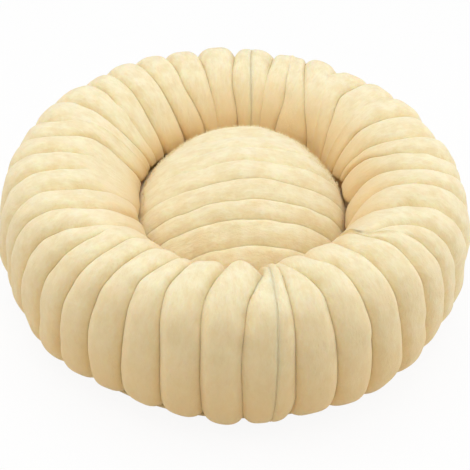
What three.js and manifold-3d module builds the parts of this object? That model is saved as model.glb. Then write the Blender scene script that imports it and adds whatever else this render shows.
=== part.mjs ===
// Round plush pet bed: a stuffed, ribbed bolster ring round a well, and a loose domed cushion in the well.
// Millimetres, +Z up. The origin lies on the floor under the middle of the bed, and the front is at -Y.

import * as THREE from "three";
import { mergeGeometries, mergeVertices } from "three/addons/utils/BufferGeometryUtils.js";
import Module from "manifold-3d";

const wasm = await Module();
wasm.setup();
const degree = Math.PI / 180;
const quarterTurn = Math.PI / 2;

// Bolster ring, stuffed
const outerDiameter = 500;
const bedHeight = 158;
const bolsterWidth = 125;
const waistHeight = 70; // height at which the ring is widest
const upperFullness = 2.3; // exponent of the section above the waist: 2 is an ellipse, more is boxier
const lowerFullness = 2.9;
const coverThickness = 14; // plush with its wadding, from the crest of a rib to the back

// Ribs of the bolster cover
const ribDepth = 9;
const ribRoundness = 2.6; // exponent of a rib's crown
const ribFadeHeight = 16; // the ribs reach their full depth this far above the foot
const footRibShare = 0.3; // share of the depth that is left at the sewn foot
const ribLeanAngle = 6.5 * degree; // the outer wall's ribs run towards the back by this angle at the sides
const frontSeamAngle = -78.9 * degree;
const rearSeamAngle = 86 * degree;
// Rib widths as shares of their panel, from the front seam round to the rear seam
const leftRibShares = [
  0.67, 1, 0.94, 0.89, 0.78, 0.77, 0.78, 0.78, 0.72, 0.61, 0.84,
  0.89, 0.94, 0.72, 1.06, 1.05, 1.06, 1.05, 1.06, 1.06, 1.11, 0.63,
];
const rightRibShares = [
  0.39, 0.89, 0.83, 0.89, 0.89, 0.89, 0.72, 0.67, 0.78, 0.83,
  0.78, 0.89, 1.22, 1, 1.11, 1.22, 1, 0.95, 0.64,
];

// Closing seams of the bolster cover
const seamThickness = 2; // the two turned-in edges together
const seamSink = 5; // how far the seam lies below the crests of the ribs

// Base
const gripDotHeight = 1.5;
const gripDotRadius = 4;
const gripDotPitch = 50;
const gripSheetThickness = 0.8;
const baseClothThickness = 1.2;
const bindingWidth = 4;

// Well
const floorClothThickness = 1.2;
const wellTapeWidth = 7;
const wellTapeThickness = 1;

// Cushion
const cushionClearance = 3; // between the cushion's edge and the crests of the bolster's inner ribs
const cushionHeight = 135; // to the crown's middle
const cushionSeamRise = 64; // from the cushion's underside up to its edge seam
const domeFullness = 1.73; // exponent of the crown's section
const crownSlope = 0.245; // rise of the crown towards the back, over the distance from its middle
const topCoverThickness = 9;
const channelDepth = 5;
const channelPitch = 25;
const channelOffset = 15; // from the middle of the cushion to the nearest channel towards the back
const channelRoundness = 2.4;
const cushionTurn = 5.7 * degree; // how far the cushion lies turned in the well
const undersideThickness = 1.5;
const undersideFlatShare = 0.85; // share of the cushion's radius that lies flat on the well's floor
const pipingRadius = 2;

// Zip in the cushion's underside
const zipEndClearance = 2; // between the tape's corners and the edge of the underside's flat
const zipTapeWidth = 12;
const zipTapeThickness = 0.6;
const zipTapeTail = 8; // tape past each stop
const toothPitch = 5;
const toothReach = 1;
const toothFlankShare = 1 / 8; // of the pitch, each of a tooth's two slopes
const toothTipShare = 1 / 4; // of the pitch
const toothRowWidth = 2.6;
const toothRowThickness = 2.4;
const toothRowGap = 1.8; // left open for the slider's post
const sliderLength = 11;
const sliderWidth = 9.5;
const sliderCornerRadius = 2;
const sliderPlateThickness = 0.9;
const sliderPostWidth = 1;
const sliderPostLength = 5;
const sliderSideClearance = 0.75; // between the slider and the edges of the underside
const stopLength = 3;

// Counts of steps and facets
const columnsPerRib = 4;
const rowsPerChannel = 4;
const coverLowerSteps = 2; // of the bolster's section below the waist, on each side
const coreLowerSteps = 1;
const upperSteps = 6;
const domeColumns = 20;
const cushionSteps = 6;
const cushionSegments = 40; // facets round the cushion, the same inside and outside
const baseSegments = 64;
const wellSegments = 48;
const dotSegments = 8;
const pipingSides = 6;
const cornerSegments = 3;

// Clearances and cutting
const touchGap = 0.3; // between two pieces that touch
const overrun = 3; // how far a cutting body runs past what it cuts

// Levels and radii that follow from the sizes
const gripSheetTop = gripDotHeight + gripSheetThickness;
const baseClothBottom = gripSheetTop + touchGap;
const baseClothTop = baseClothBottom + baseClothThickness;
const footLevel = baseClothTop + touchGap;
const floorClothTop = footLevel + floorClothThickness;
const bolsterRadius = (outerDiameter - bolsterWidth) / 2;
const wellRadius = bolsterRadius - bolsterWidth / 2;
const footRadius = bolsterRadius + bolsterHalfWidthAt(footLevel);
const bindingInner = footRadius - bindingWidth;
const baseRadius = bindingInner - touchGap;
const cushionRadius = wellRadius - cushionClearance;
const cushionBottom = floorClothTop + touchGap;
const undersideTop = cushionBottom + undersideThickness;
const cushionSeamLevel = cushionBottom + cushionSeamRise;
const topFootLevel = cushionSeamLevel + pipingRadius + touchGap;
const undersideRimLevel = cushionSeamLevel - pipingRadius - touchGap;
const undersideFlatRadius = undersideFlatShare * cushionRadius;
const domeRise = cushionBottom + cushionHeight - topFootLevel;

// Half the width of the bolster's section at a height below its waist
function bolsterHalfWidthAt(level) {
  const drop = (waistHeight - level) / waistHeight;
  return (bolsterWidth / 2) * (1 - drop ** lowerFullness) ** (1 / lowerFullness);
}

// Mesh helpers

function solidOf(geometry) {
  const bare = geometry.index ? geometry.toNonIndexed() : geometry.clone();
  bare.deleteAttribute("normal");
  bare.deleteAttribute("uv");
  const merged = mergeVertices(bare);
  return new wasm.Manifold(
    new wasm.Mesh({
      numProp: 3,
      vertProperties: merged.attributes.position.array,
      triVerts: new Uint32Array(merged.index.array),
    }),
  );
}

function geometryOf(solid) {
  const mesh = solid.getMesh();
  const geometry = new THREE.BufferGeometry();
  geometry.setAttribute("position", new THREE.BufferAttribute(mesh.vertProperties, 3));
  geometry.setIndex(new THREE.BufferAttribute(mesh.triVerts, 1));
  const faceted = geometry.toNonIndexed();
  faceted.computeVertexNormals();
  return faceted;
}

// A body through closed sections with the same number of points, as a ring or with its two ends filled in
function loft(sections, isRing) {
  const count = sections[0].length;
  const points = sections.flat();
  const faces = [];
  const bands = isRing ? sections.length : sections.length - 1;
  for (let band = 0; band < bands; band++) {
    const here = band * count;
    const there = ((band + 1) % sections.length) * count;
    for (let i = 0; i < count; i++) {
      const next = (i + 1) % count;
      faces.push(here + i, there + i, there + next);
      faces.push(here + i, there + next, here + next);
    }
  }
  if (!isRing) {
    addCap(points, faces, sections[0], 0, false);
    addCap(points, faces, sections[sections.length - 1], (sections.length - 1) * count, true);
  }
  const geometry = new THREE.BufferGeometry().setFromPoints(points);
  geometry.setIndex(facingOut(points, faces));
  return geometry;
}

// Fills a section with a fan of faces round its middle
function addCap(points, faces, section, start, isLast) {
  const middle = new THREE.Vector3();
  section.forEach((point) => middle.addScaledVector(point, 1 / section.length));
  const hub = points.push(middle) - 1;
  section.forEach((_, i) => {
    const next = start + ((i + 1) % section.length);
    faces.push(...(isLast ? [hub, next, start + i] : [hub, start + i, next]));
  });
}

// Turns all faces round if together they enclose a negative volume
function facingOut(points, faces) {
  let volume = 0;
  const across = new THREE.Vector3();
  for (let i = 0; i < faces.length; i += 3) {
    across.crossVectors(points[faces[i + 1]], points[faces[i + 2]]);
    volume += points[faces[i]].dot(across);
  }
  return volume < 0 ? faces.slice().reverse() : faces;
}

// A turned body: the profile's points are [radius, height], and start and end on the axis or where they began
function lathe(profile, segments) {
  const points = profile.map(([radius, height]) => new THREE.Vector2(radius, height));
  return new THREE.LatheGeometry(points, segments).rotateX(quarterTurn);
}

function flatRing(innerRadius, outerRadius, bottom, top, segments) {
  const profile = [
    [innerRadius, bottom],
    [outerRadius, bottom],
    [outerRadius, top],
    [innerRadius, top],
    [innerRadius, bottom],
  ];
  return lathe(profile, segments);
}

function flatDisc(radius, bottom, top, segments) {
  const profile = [
    [0, bottom],
    [radius, bottom],
    [radius, top],
    [0, top],
  ];
  return lathe(profile, segments);
}

// A box from one corner to the opposite one
function box(low, high) {
  const size = high.map((value, axis) => value - low[axis]);
  const middle = high.map((value, axis) => (value + low[axis]) / 2);
  return new THREE.BoxGeometry(...size).translate(...middle);
}

function material(colour, roughness, metalness = 0) {
  return new THREE.MeshStandardMaterial({ color: colour, roughness, metalness });
}

const plushMaterial = () => material(0xf1dbac, 0.95);
const seamMaterial = () => material(0xb9a27c, 0.9);
const clothMaterial = () => material(0xe6dcc6, 0.9);
const fibreMaterial = () => material(0xf6f4ee, 1);
const rubberMaterial = () => material(0xd9d4c8, 0.7);
const zipMaterial = () => material(0xefe3c4, 0.6);
const metalMaterial = () => material(0xb8b4aa, 0.35, 0.9);

function addPiece(group, name, geometry, finish) {
  const mesh = new THREE.Mesh(geometry, finish);
  mesh.name = name;
  group.add(mesh);
  return mesh;
}

// Bolster section

// Points [radius, height] from the outer foot over the top to the inner foot.
// The section is a superellipse whose half-width and rise shrink by the inset of each point.
function bolsterArc(turns, insetAt) {
  return turns.map((turn) => {
    const across = Math.cos(turn);
    const up = Math.sin(turn);
    const fullness = up > 0 ? upperFullness : lowerFullness;
    const rise = Math.abs(up) ** (2 / fullness);
    const level = up > 0 ? waistHeight : waistHeight - waistHeight * rise;
    const inset = insetAt(turn, level);
    const reach = (bolsterWidth / 2 - inset) * Math.sign(across) * Math.abs(across) ** (2 / fullness);
    const height = up > 0 ? waistHeight + (bedHeight - waistHeight - inset) * rise : level;
    return [bolsterRadius + reach, height];
  });
}

// The turn of the section's parameter at which the lower arc reaches the foot
const footTurn = Math.asin(((waistHeight - footLevel) / waistHeight) ** (lowerFullness / 2));

// Turns from the outer foot to the inner foot: the lower arcs have fewer steps than the upper one
function sectionTurns(lowerSteps) {
  const turns = [];
  for (let i = 0; i < lowerSteps; i++) turns.push(-footTurn * (1 - i / lowerSteps));
  for (let i = 0; i <= upperSteps; i++) turns.push((i / upperSteps) * 2 * quarterTurn);
  for (let i = 1; i <= lowerSteps; i++) turns.push(2 * quarterTurn + footTurn * (i / lowerSteps));
  return turns;
}

// The outer wall leans towards the back at the bed's sides, and the top and the inner wall don't
function leaned(angle, turn) {
  const share = turn > quarterTurn ? 0 : Math.min(1, 1 - Math.sin(turn));
  return angle + ribLeanAngle * Math.cos(angle) * share;
}

function placed(arc, turns, angle) {
  return arc.map(([radius, height], i) => {
    const at = leaned(angle, turns[Math.min(i, turns.length - 1)]);
    return new THREE.Vector3(radius * Math.cos(at), radius * Math.sin(at), height);
  });
}

// Bolster cover

// Columns over a panel: the angle, and how deep the surface lies there below the crest, as a share
function ribColumns(start, end, shares) {
  const total = shares.reduce((sum, share) => sum + share, 0);
  const columns = [];
  let edge = start;
  shares.forEach((share) => {
    const width = ((end - start) * share) / total;
    for (let i = 0; i < columnsPerRib; i++) {
      const across = i / columnsPerRib;
      columns.push({ angle: edge + width * across, sink: Math.abs(2 * across - 1) ** ribRoundness });
    }
    edge += width;
  });
  columns.push({ angle: end, sink: 1 });
  return columns;
}

const coverTurns = sectionTurns(coverLowerSteps);
const coreTurns = sectionTurns(coreLowerSteps);

function ribInset(sink) {
  return (turn, level) => {
    const fade = Math.min(1, (level - footLevel) / ribFadeHeight);
    return ribDepth * sink * (footRibShare + (1 - footRibShare) * fade);
  };
}

const coreInset = () => coverThickness;

// The space under the cover, run past its foot and its two ends so that it opens them
function coreCutter(angles) {
  const arc = bolsterArc(coreTurns, coreInset);
  const outerFoot = arc[0][0];
  const innerFoot = arc[arc.length - 1][0];
  const open = [[outerFoot, footLevel - overrun], ...arc, [innerFoot, footLevel - overrun]];
  const turns = [coreTurns[0], ...coreTurns, coreTurns[coreTurns.length - 1]];
  return solidOf(loft(angles.map((angle) => placed(open, turns, angle)), false));
}

// Angles at the rib grooves, with a little more at both ends
function coreAngles(columns) {
  const past = Math.sign(columns[columns.length - 1].angle - columns[0].angle) * (overrun / bolsterRadius);
  const inner = columns.filter((_, i) => i % columnsPerRib === 0).map((column) => column.angle);
  return [inner[0] - past, ...inner, inner[inner.length - 1] + past];
}

// The seam's half-thickness and the gap beside it as angles, taken at the ring's middle and at its inside
const seamHalfAngle = seamThickness / 2 / bolsterRadius;
const seamGapAngle = touchGap / wellRadius;
const coverEndAngle = seamHalfAngle + seamGapAngle;

const leftColumns = ribColumns(
  frontSeamAngle - coverEndAngle,
  rearSeamAngle - 2 * Math.PI + coverEndAngle,
  leftRibShares,
);
const rightColumns = ribColumns(
  frontSeamAngle + coverEndAngle,
  rearSeamAngle - coverEndAngle,
  rightRibShares,
);

function coverPanel(columns) {
  const sections = columns.map(({ angle, sink }) =>
    placed(bolsterArc(coverTurns, ribInset(sink)), coverTurns, angle),
  );
  const skin = solidOf(loft(sections, false));
  return geometryOf(skin.subtract(coreCutter(coreAngles(columns))));
}

// The turned-in edges of both panels, as a C-shaped strip that stands in the gap between them
function closingSeam(angle) {
  const ends = [angle - seamHalfAngle, angle + seamHalfAngle];
  const seamInset = () => seamSink;
  const sections = ends.map((end) => placed(bolsterArc(coverTurns, seamInset), coverTurns, end));
  const past = overrun / bolsterRadius;
  const cutter = coreCutter([ends[0] - past, ...ends, ends[1] + past]);
  return geometryOf(solidOf(loft(sections, false)).subtract(cutter));
}

// Fibre ring: the space under the cover less the touching gap, on the same columns
function bolsterFilling() {
  const fillInset = () => coverThickness + touchGap;
  const arc = bolsterArc(coreTurns, fillInset);
  const grooves = (columns) => coreAngles(columns).slice(1, -1);
  const angles = [...grooves(rightColumns), ...grooves(leftColumns).reverse()];
  return loft(angles.map((angle) => placed(arc, coreTurns, angle)), true);
}

// Base

// Non-slip sheet: a thin disc with a square pattern of raised dots under it
function gripSheet() {
  const dots = [];
  const reach = Math.floor(baseRadius / gripDotPitch);
  const limit = baseRadius - 2 * gripDotRadius;
  for (let column = -reach; column <= reach; column++) {
    for (let row = -reach; row <= reach; row++) {
      const x = column * gripDotPitch;
      const y = row * gripDotPitch;
      if (Math.hypot(x, y) > limit) continue;
      const height = gripDotHeight + gripSheetThickness / 2;
      const dot = new THREE.CylinderGeometry(gripDotRadius, gripDotRadius, height, dotSegments);
      dots.push(dot.rotateX(quarterTurn).translate(x, y, height / 2));
    }
  }
  const sheet = flatDisc(baseRadius, gripDotHeight, gripSheetTop, baseSegments);
  return geometryOf(solidOf(sheet).add(solidOf(mergeGeometries(dots))));
}

// The radius of the bolster's inner wall at a height near the floor of the well
function wellWallRadiusAt(level) {
  return bolsterRadius - bolsterHalfWidthAt(level);
}

function wellEdgeTape() {
  const bottom = floorClothTop + touchGap;
  const top = bottom + wellTapeThickness;
  const outer = wellWallRadiusAt(top) - touchGap;
  return flatRing(outer - wellTapeWidth, outer, bottom, top, wellSegments);
}

// Cushion

// Height of the crown's smooth surface at a distance from the middle, for a dome of some radius and rise
function domeLevel(distance, radius, rise) {
  const out = Math.min(1, distance / radius);
  return topFootLevel + rise * (1 - out ** domeFullness) ** (1 / domeFullness);
}

// The crown tilts up towards the back, and its foot stays level
function tiltedLevel(level, y) {
  const rise = Math.max(0, level - topFootLevel);
  return level + (rise * crownSlope * y) / domeRise;
}

function tilted(geometry) {
  const places = geometry.attributes.position;
  for (let i = 0; i < places.count; i++) {
    places.setZ(i, tiltedLevel(places.getZ(i), places.getY(i)));
  }
  return geometry;
}

// Rows across the channels: each channel is a row, with the ribs' crowns between them
function channelRows() {
  const step = channelPitch / rowsPerChannel;
  const margin = step / 2;
  const first = Math.ceil((-cushionRadius + margin - channelOffset) / step);
  const last = Math.floor((cushionRadius - margin - channelOffset) / step);
  const rows = [];
  for (let i = first; i <= last; i++) {
    const across = (((i % rowsPerChannel) + rowsPerChannel) % rowsPerChannel) / rowsPerChannel;
    rows.push({ y: channelOffset + i * step, sink: Math.abs(2 * across - 1) ** channelRoundness });
  }
  return rows;
}

// Ribbed dome with a flat underside: each row is a section that runs along its rib from edge to edge
function domeSolid() {
  const sections = channelRows().map(({ y, sink }) => {
    const half = Math.sqrt(cushionRadius ** 2 - y ** 2);
    const section = [];
    for (let i = 0; i <= domeColumns; i++) {
      const x = -half * Math.cos((i / domeColumns) * Math.PI);
      const level = domeLevel(Math.hypot(x, y), cushionRadius, domeRise);
      const hem = Math.min(1, (level - topFootLevel) / (2 * channelDepth));
      section.push(new THREE.Vector3(x, y, tiltedLevel(level - channelDepth * sink * hem, y)));
    }
    return section;
  });
  return solidOf(loft(sections, false));
}

// The space under the dome's cloth, run past its foot
function domeCore(inset, bottom) {
  const profile = [[0, bottom], [cushionRadius - inset, bottom], ...domeProfile(inset)];
  return tilted(lathe(profile, cushionSegments));
}

// The dome's inside from its foot to the axis
function domeProfile(inset) {
  const radius = cushionRadius - inset;
  const profile = [];
  for (let i = 0; i <= cushionSteps; i++) {
    const distance = i === cushionSteps ? 0 : radius * Math.cos((i / cushionSteps) * quarterTurn);
    profile.push([distance, domeLevel(distance, radius, domeRise - inset)]);
  }
  return profile;
}

// The underside's section from the flat to the rim: a quarter of an ellipse, drawn in by the inset
function undersideProfile(inset) {
  const rim = cushionRadius - inset;
  const bottom = cushionBottom + inset;
  const profile = [];
  for (let i = 0; i <= cushionSteps; i++) {
    const turn = (i / cushionSteps) * quarterTurn;
    const radius = undersideFlatRadius + (rim - undersideFlatRadius) * Math.sin(turn);
    profile.push([radius, undersideRimLevel - (undersideRimLevel - bottom) * Math.cos(turn)]);
  }
  return profile;
}

// Zip levels, from the slider's lower plate up
const sliderBottom = cushionBottom + touchGap;
const lowerPlateTop = sliderBottom + sliderPlateThickness;
const toothRowBottom = lowerPlateTop + touchGap;
const toothRowTop = toothRowBottom + toothRowThickness;
const upperPlateBottom = toothRowTop + touchGap;
const sliderTop = upperPlateBottom + sliderPlateThickness;
const tapeBottom = undersideTop + touchGap;
const tapeTop = tapeBottom + zipTapeThickness;
const toothRowBack = toothRowGap / 2 + toothRowWidth;
const tapeInner = toothRowBack + touchGap;
const tapeOuter = tapeInner + zipTapeWidth;
const slotHalfWidth = sliderWidth / 2 + sliderSideClearance;
const facetedFlatRadius = undersideFlatRadius * Math.cos(Math.PI / cushionSegments);
const tapeHalfLength = Math.sqrt(facetedFlatRadius ** 2 - tapeOuter ** 2) - zipEndClearance;
const slotHalfLength = tapeHalfLength - zipTapeTail;
const zipHalfLength = slotHalfLength - stopLength - 2 * touchGap; // of the tooth rows

// One half of the underside, with its edge cut back along the zip
function undersidePanel(side) {
  const outside = undersideProfile(0);
  const inside = undersideProfile(undersideThickness).reverse();
  const profile = [[0, cushionBottom], ...outside, ...inside, [0, undersideTop]];
  const bowl = solidOf(lathe(profile, cushionSegments));
  const reach = cushionRadius + overrun;
  const low = cushionBottom - overrun;
  const high = cushionSeamLevel + overrun;
  const near = (side * touchGap) / 2;
  const far = side * reach;
  const half = box([-reach, Math.min(near, far), low], [reach, Math.max(near, far), high]);
  const slot = box(
    [-slotHalfLength, -slotHalfWidth, low],
    [slotHalfLength, slotHalfWidth, undersideTop + overrun],
  );
  return geometryOf(bowl.intersect(solidOf(half)).subtract(solidOf(slot)));
}

function edgePiping() {
  const middle = cushionRadius - pipingRadius;
  const profile = [];
  for (let i = 0; i <= pipingSides; i++) {
    const turn = ((i % pipingSides) / pipingSides) * 2 * Math.PI;
    profile.push([middle + pipingRadius * Math.cos(turn), cushionSeamLevel + pipingRadius * Math.sin(turn)]);
  }
  return lathe(profile, wellSegments);
}

// Fibre lens that fills the cushion, with a channel over the zip
function cushionFilling() {
  const lower = undersideProfile(undersideThickness + touchGap);
  const upper = domeProfile(topCoverThickness + touchGap);
  const insidePiping = cushionRadius - 2 * pipingRadius - touchGap;
  const neck = topFootLevel - touchGap;
  const profile = [
    [0, undersideTop + touchGap],
    ...lower,
    [insidePiping, undersideRimLevel],
    [insidePiping, neck],
    [upper[0][0], neck],
    ...upper,
  ];
  const channel = box(
    [-tapeHalfLength - touchGap, -tapeOuter - touchGap, cushionBottom - overrun],
    [tapeHalfLength + touchGap, tapeOuter + touchGap, sliderTop + touchGap],
  );
  return geometryOf(solidOf(tilted(lathe(profile, cushionSegments))).subtract(solidOf(channel)));
}

function zipTape(side) {
  const near = side * tapeInner;
  const far = side * tapeOuter;
  return box(
    [-tapeHalfLength, Math.min(near, far), tapeBottom],
    [tapeHalfLength, Math.max(near, far), tapeTop],
  );
}

// A row of teeth as an extruded rack: the teeth point to the zip's middle, and one side's lie half a pitch on
function toothRow(side) {
  const count = Math.round((2 * zipHalfLength) / toothPitch);
  const pitch = (2 * zipHalfLength) / count;
  const flank = toothFlankShare * pitch;
  const tipLength = toothTipShare * pitch;
  const tip = toothRowGap / 2;
  const root = tip + toothReach;
  const shift = side > 0 ? 0 : pitch / 2;
  const shape = new THREE.Shape();
  shape.moveTo(-zipHalfLength, side * toothRowBack);
  shape.lineTo(-zipHalfLength, side * root);
  for (let i = 0; i < count; i++) {
    const start = -zipHalfLength + i * pitch + shift + flank;
    const end = start + 2 * flank + tipLength;
    if (end > zipHalfLength) continue;
    shape.lineTo(start, side * root);
    shape.lineTo(start + flank, side * tip);
    shape.lineTo(end - flank, side * tip);
    shape.lineTo(end, side * root);
  }
  shape.lineTo(zipHalfLength, side * root);
  shape.lineTo(zipHalfLength, side * toothRowBack);
  shape.closePath();
  const row = new THREE.ExtrudeGeometry(shape, { depth: toothRowThickness, bevelEnabled: false });
  return row.translate(0, 0, toothRowBottom);
}

// A crimped block at an end of the zip, between the tapes
function zipStop(side) {
  const near = side * (zipHalfLength + touchGap);
  const far = near + side * stopLength;
  return box(
    [Math.min(near, far), -toothRowBack, lowerPlateTop],
    [Math.max(near, far), toothRowBack, upperPlateBottom],
  );
}

// Slider without a pull tab: two plates joined by a post, and two flanges that hold the tooth rows
function zipSlider() {
  const plate = (bottom) => {
    const halfLength = sliderLength / 2;
    const halfWidth = sliderWidth / 2;
    const radius = sliderCornerRadius;
    const shape = new THREE.Shape();
    shape.moveTo(-halfLength + radius, -halfWidth);
    shape.lineTo(halfLength - radius, -halfWidth);
    shape.absarc(halfLength - radius, -halfWidth + radius, radius, -quarterTurn, 0);
    shape.lineTo(halfLength, halfWidth - radius);
    shape.absarc(halfLength - radius, halfWidth - radius, radius, 0, quarterTurn);
    shape.lineTo(-halfLength + radius, halfWidth);
    shape.absarc(-halfLength + radius, halfWidth - radius, radius, quarterTurn, 2 * quarterTurn);
    shape.lineTo(-halfLength, -halfWidth + radius);
    shape.absarc(-halfLength + radius, -halfWidth + radius, radius, 2 * quarterTurn, 3 * quarterTurn);
    const options = { depth: sliderPlateThickness, bevelEnabled: false, curveSegments: cornerSegments };
    return new THREE.ExtrudeGeometry(shape, options).translate(0, 0, bottom);
  };
  const post = box(
    [-sliderPostLength / 2, -sliderPostWidth / 2, lowerPlateTop - sliderPlateThickness / 2],
    [sliderPostLength / 2, sliderPostWidth / 2, upperPlateBottom + sliderPlateThickness / 2],
  );
  const flange = (side) => {
    const near = side * (toothRowBack + touchGap);
    const far = (side * sliderWidth) / 2;
    const reach = sliderLength / 2 - sliderCornerRadius;
    return box(
      [-reach, Math.min(near, far), tapeTop + touchGap],
      [reach, Math.max(near, far), upperPlateBottom + sliderPlateThickness / 2],
    );
  };
  let slider = solidOf(plate(sliderBottom)).add(solidOf(plate(upperPlateBottom)));
  slider = slider.add(solidOf(post)).add(solidOf(flange(1))).add(solidOf(flange(-1)));
  return geometryOf(slider);
}

// Assembly

const bed = new THREE.Group();
addPiece(bed, "grip_sheet", gripSheet(), rubberMaterial());
const baseDisc = flatDisc(baseRadius, baseClothBottom, baseClothTop, baseSegments);
addPiece(bed, "base_cloth", baseDisc, clothMaterial());
const binding = flatRing(bindingInner, footRadius, gripDotHeight, baseClothTop, baseSegments);
addPiece(bed, "base_edge_binding", binding, seamMaterial());
addPiece(bed, "bolster_cover_left", coverPanel(leftColumns), plushMaterial());
addPiece(bed, "bolster_cover_right", coverPanel(rightColumns), plushMaterial());
addPiece(bed, "front_closing_seam", closingSeam(frontSeamAngle), seamMaterial());
addPiece(bed, "rear_closing_seam", closingSeam(rearSeamAngle), seamMaterial());
addPiece(bed, "bolster_filling", bolsterFilling(), fibreMaterial());
const floorRadius = wellWallRadiusAt(floorClothTop) - touchGap;
const floorCloth = flatDisc(floorRadius, footLevel, floorClothTop, wellSegments);
addPiece(bed, "well_floor_cloth", floorCloth, clothMaterial());
addPiece(bed, "well_edge_tape", wellEdgeTape(), seamMaterial());

const cushion = new THREE.Group();
cushion.rotation.z = cushionTurn;
const topCover = domeSolid().subtract(solidOf(domeCore(topCoverThickness, topFootLevel - overrun)));
addPiece(cushion, "cushion_top_cover", geometryOf(topCover), plushMaterial());
addPiece(cushion, "cushion_edge_piping", edgePiping(), seamMaterial());
addPiece(cushion, "cushion_underside_front", undersidePanel(-1), clothMaterial());
addPiece(cushion, "cushion_underside_rear", undersidePanel(1), clothMaterial());
addPiece(cushion, "cushion_filling", cushionFilling(), fibreMaterial());
addPiece(cushion, "zip_tape_front", zipTape(-1), zipMaterial());
addPiece(cushion, "zip_tape_rear", zipTape(1), zipMaterial());
addPiece(cushion, "zip_teeth_front", toothRow(-1), zipMaterial());
addPiece(cushion, "zip_teeth_rear", toothRow(1), zipMaterial());
addPiece(cushion, "zip_top_stop", zipStop(1), metalMaterial());
addPiece(cushion, "zip_bottom_stop", zipStop(-1), metalMaterial());
const slider = addPiece(cushion, "zip_slider", zipSlider(), metalMaterial());
slider.position.x = zipHalfLength - sliderLength / 2;

const group = new THREE.Group();
group.add(bed, cushion);

export default group;
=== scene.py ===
"""Round plush pet bed: a ribbed bolster round a well, and a loose domed cushion with a zip underneath.

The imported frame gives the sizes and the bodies. Each soft piece is a surface worked out on a grid, in metres.
Angles round the bed are in degrees from +X. A turn goes round the bolster's section, in degrees too:
0 is the outermost line, 90 the top and 180 the line next to the cushion.
"""

import math

import bpy
import numpy as np
from mathutils import Matrix, Vector


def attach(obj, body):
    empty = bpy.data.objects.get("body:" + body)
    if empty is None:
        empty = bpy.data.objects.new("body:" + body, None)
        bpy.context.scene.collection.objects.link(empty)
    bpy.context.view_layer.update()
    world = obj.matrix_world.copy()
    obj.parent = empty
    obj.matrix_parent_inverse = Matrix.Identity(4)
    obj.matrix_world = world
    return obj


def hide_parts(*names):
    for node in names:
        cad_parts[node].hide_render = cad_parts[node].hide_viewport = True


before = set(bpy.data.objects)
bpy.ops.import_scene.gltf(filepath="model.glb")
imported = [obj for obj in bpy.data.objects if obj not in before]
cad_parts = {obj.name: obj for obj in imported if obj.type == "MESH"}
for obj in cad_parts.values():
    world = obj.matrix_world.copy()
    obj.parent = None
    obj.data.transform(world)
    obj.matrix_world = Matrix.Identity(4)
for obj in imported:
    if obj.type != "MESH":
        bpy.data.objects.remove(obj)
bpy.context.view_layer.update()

MM = 0.001

# Bolster
RING_RADIUS = 187.5 * MM
BOLSTER_HALF_WIDTH = 62.5 * MM
BED_HEIGHT = 158 * MM
WAIST_HEIGHT = 70 * MM
UPPER_FULLNESS = 2.3
LOWER_FULLNESS = 2.9
FOOT_LEVEL = 4.1 * MM
COVER_THICKNESS = 14 * MM
TOUCH_GAP = 0.3 * MM
FACING_STEP = 0.6
FINE_TURNS = (-80, 260, 6801)

# Bulge of the inner wall; each bell here and below is its height, middle and width, the last two in degrees
WALL_BULGE_LEAST = 3 * MM
WALL_BULGES = [(20 * MM, 183, 45), (8 * MM, 8, 25)]
BULGE_UNDER_DOME = 5 * MM
BULGE_LOWEST = 76 * MM
BULGE_RISE = 7 * MM
BULGE_DRAWN_IN = (100 * MM, 150 * MM)

# Ribs of the bolster; each band is where it starts, is full, starts to fade and is gone
RIB_COLUMNS = 20
COVER_ROWS = 129
COVER_STEPS = (4, RIB_COLUMNS // 2)
RIB_DEPTH_SHARE = 0.34
RIB_DEPTH_MOST = 13 * MM
FOOT_DEPTH_SHARE = 0.7
FOOT_DEPTH_LEVEL = 14 * MM
WALL_DEPTH_SHARE = 0.64
WALL_DEPTH_TURNS = (40, 90)
RIB_CREST_POWER = 3.3
RIB_CLEFT_POWER = 0.88
RIB_SWELL_SHARE = 0.12
RIB_EVEN_WIDTH = 30 * MM
RIB_SWELL_LIMITS = (-2.5 * MM, 2.0 * MM)
NARROW_RIB_WIDTHS = (5 * MM, 16 * MM)
WOBBLE_DEGREES = 0.06
WOBBLE_LENGTH = 14 * MM
GROOVE_REACH = 6 * MM
EASING = (1, 3, 5, 6, 5, 3, 1)
COVER_LUMPS = [(1.3 * MM, 70 * MM), (0.5 * MM, 26 * MM)]
FRONT_DENT = (8 * MM, -79.5, 4.5)
FRONT_DENT_BAND = (55, 95, 125, 160)
FOOT_TUCKS = [(4 * MM, -113, 16), (3 * MM, -150, 16), (3 * MM, -32, 22)]
FOOT_TUCK_MOST = 4 * MM
FOOT_TUCK_TURNS = (0, 60)
REAR_SOFTNESS = (0.4, 78, 32)
REAR_SOFT_BAND = (88, 112, 155, 175)
# Painted warm shade on the pile: its share at each turn, most low on the walls and none on top, less at the
# ring's right and left sides and high on the rear left inner wall
WARM_SHADE_LEVELS = [
    (-20, 0.7), (20, 0.44), (50, 0.38), (75, 0.08), (95, 0.0), (120, 0.35), (150, 0.8), (180, 1.0)
]
PALE_SIDES = [(-0.95, 0, 32), (-0.4, 180, 40)]
PALE_WALL = (0.85, 158, 46)
PALE_WALL_TURNS = (140, 165)

# Closing seams of the bolster
SEAM_ROWS = 513
SEAM_COLUMNS = 9
SEAM_STEPS = (16, 8)
SEAM_SWELL = 1.2 * MM
SEAM_DIP = 0.9 * MM
SEAM_DIP_REACH = 1.8 * MM
SEAM_CALM_REACH = 25 * MM
SEAM_OUTER_GAP = 0.5 * MM
SEAM_INNER_GAP = 1.15 * MM
SEAM_EDGE_HALF = 0.42 * MM
SEAM_ROOT_HALF = 0.8 * MM
SEAM_STAND = 0.2 * MM
SEAM_ROUNDING = 0.5 * MM
SEAM_ROUNDING_POWER = 2.5
FRINGE_DEPTH = 0.7 * MM
FRINGE_LEVEL = 20 * MM
FRINGE_SPREAD = 5

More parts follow.
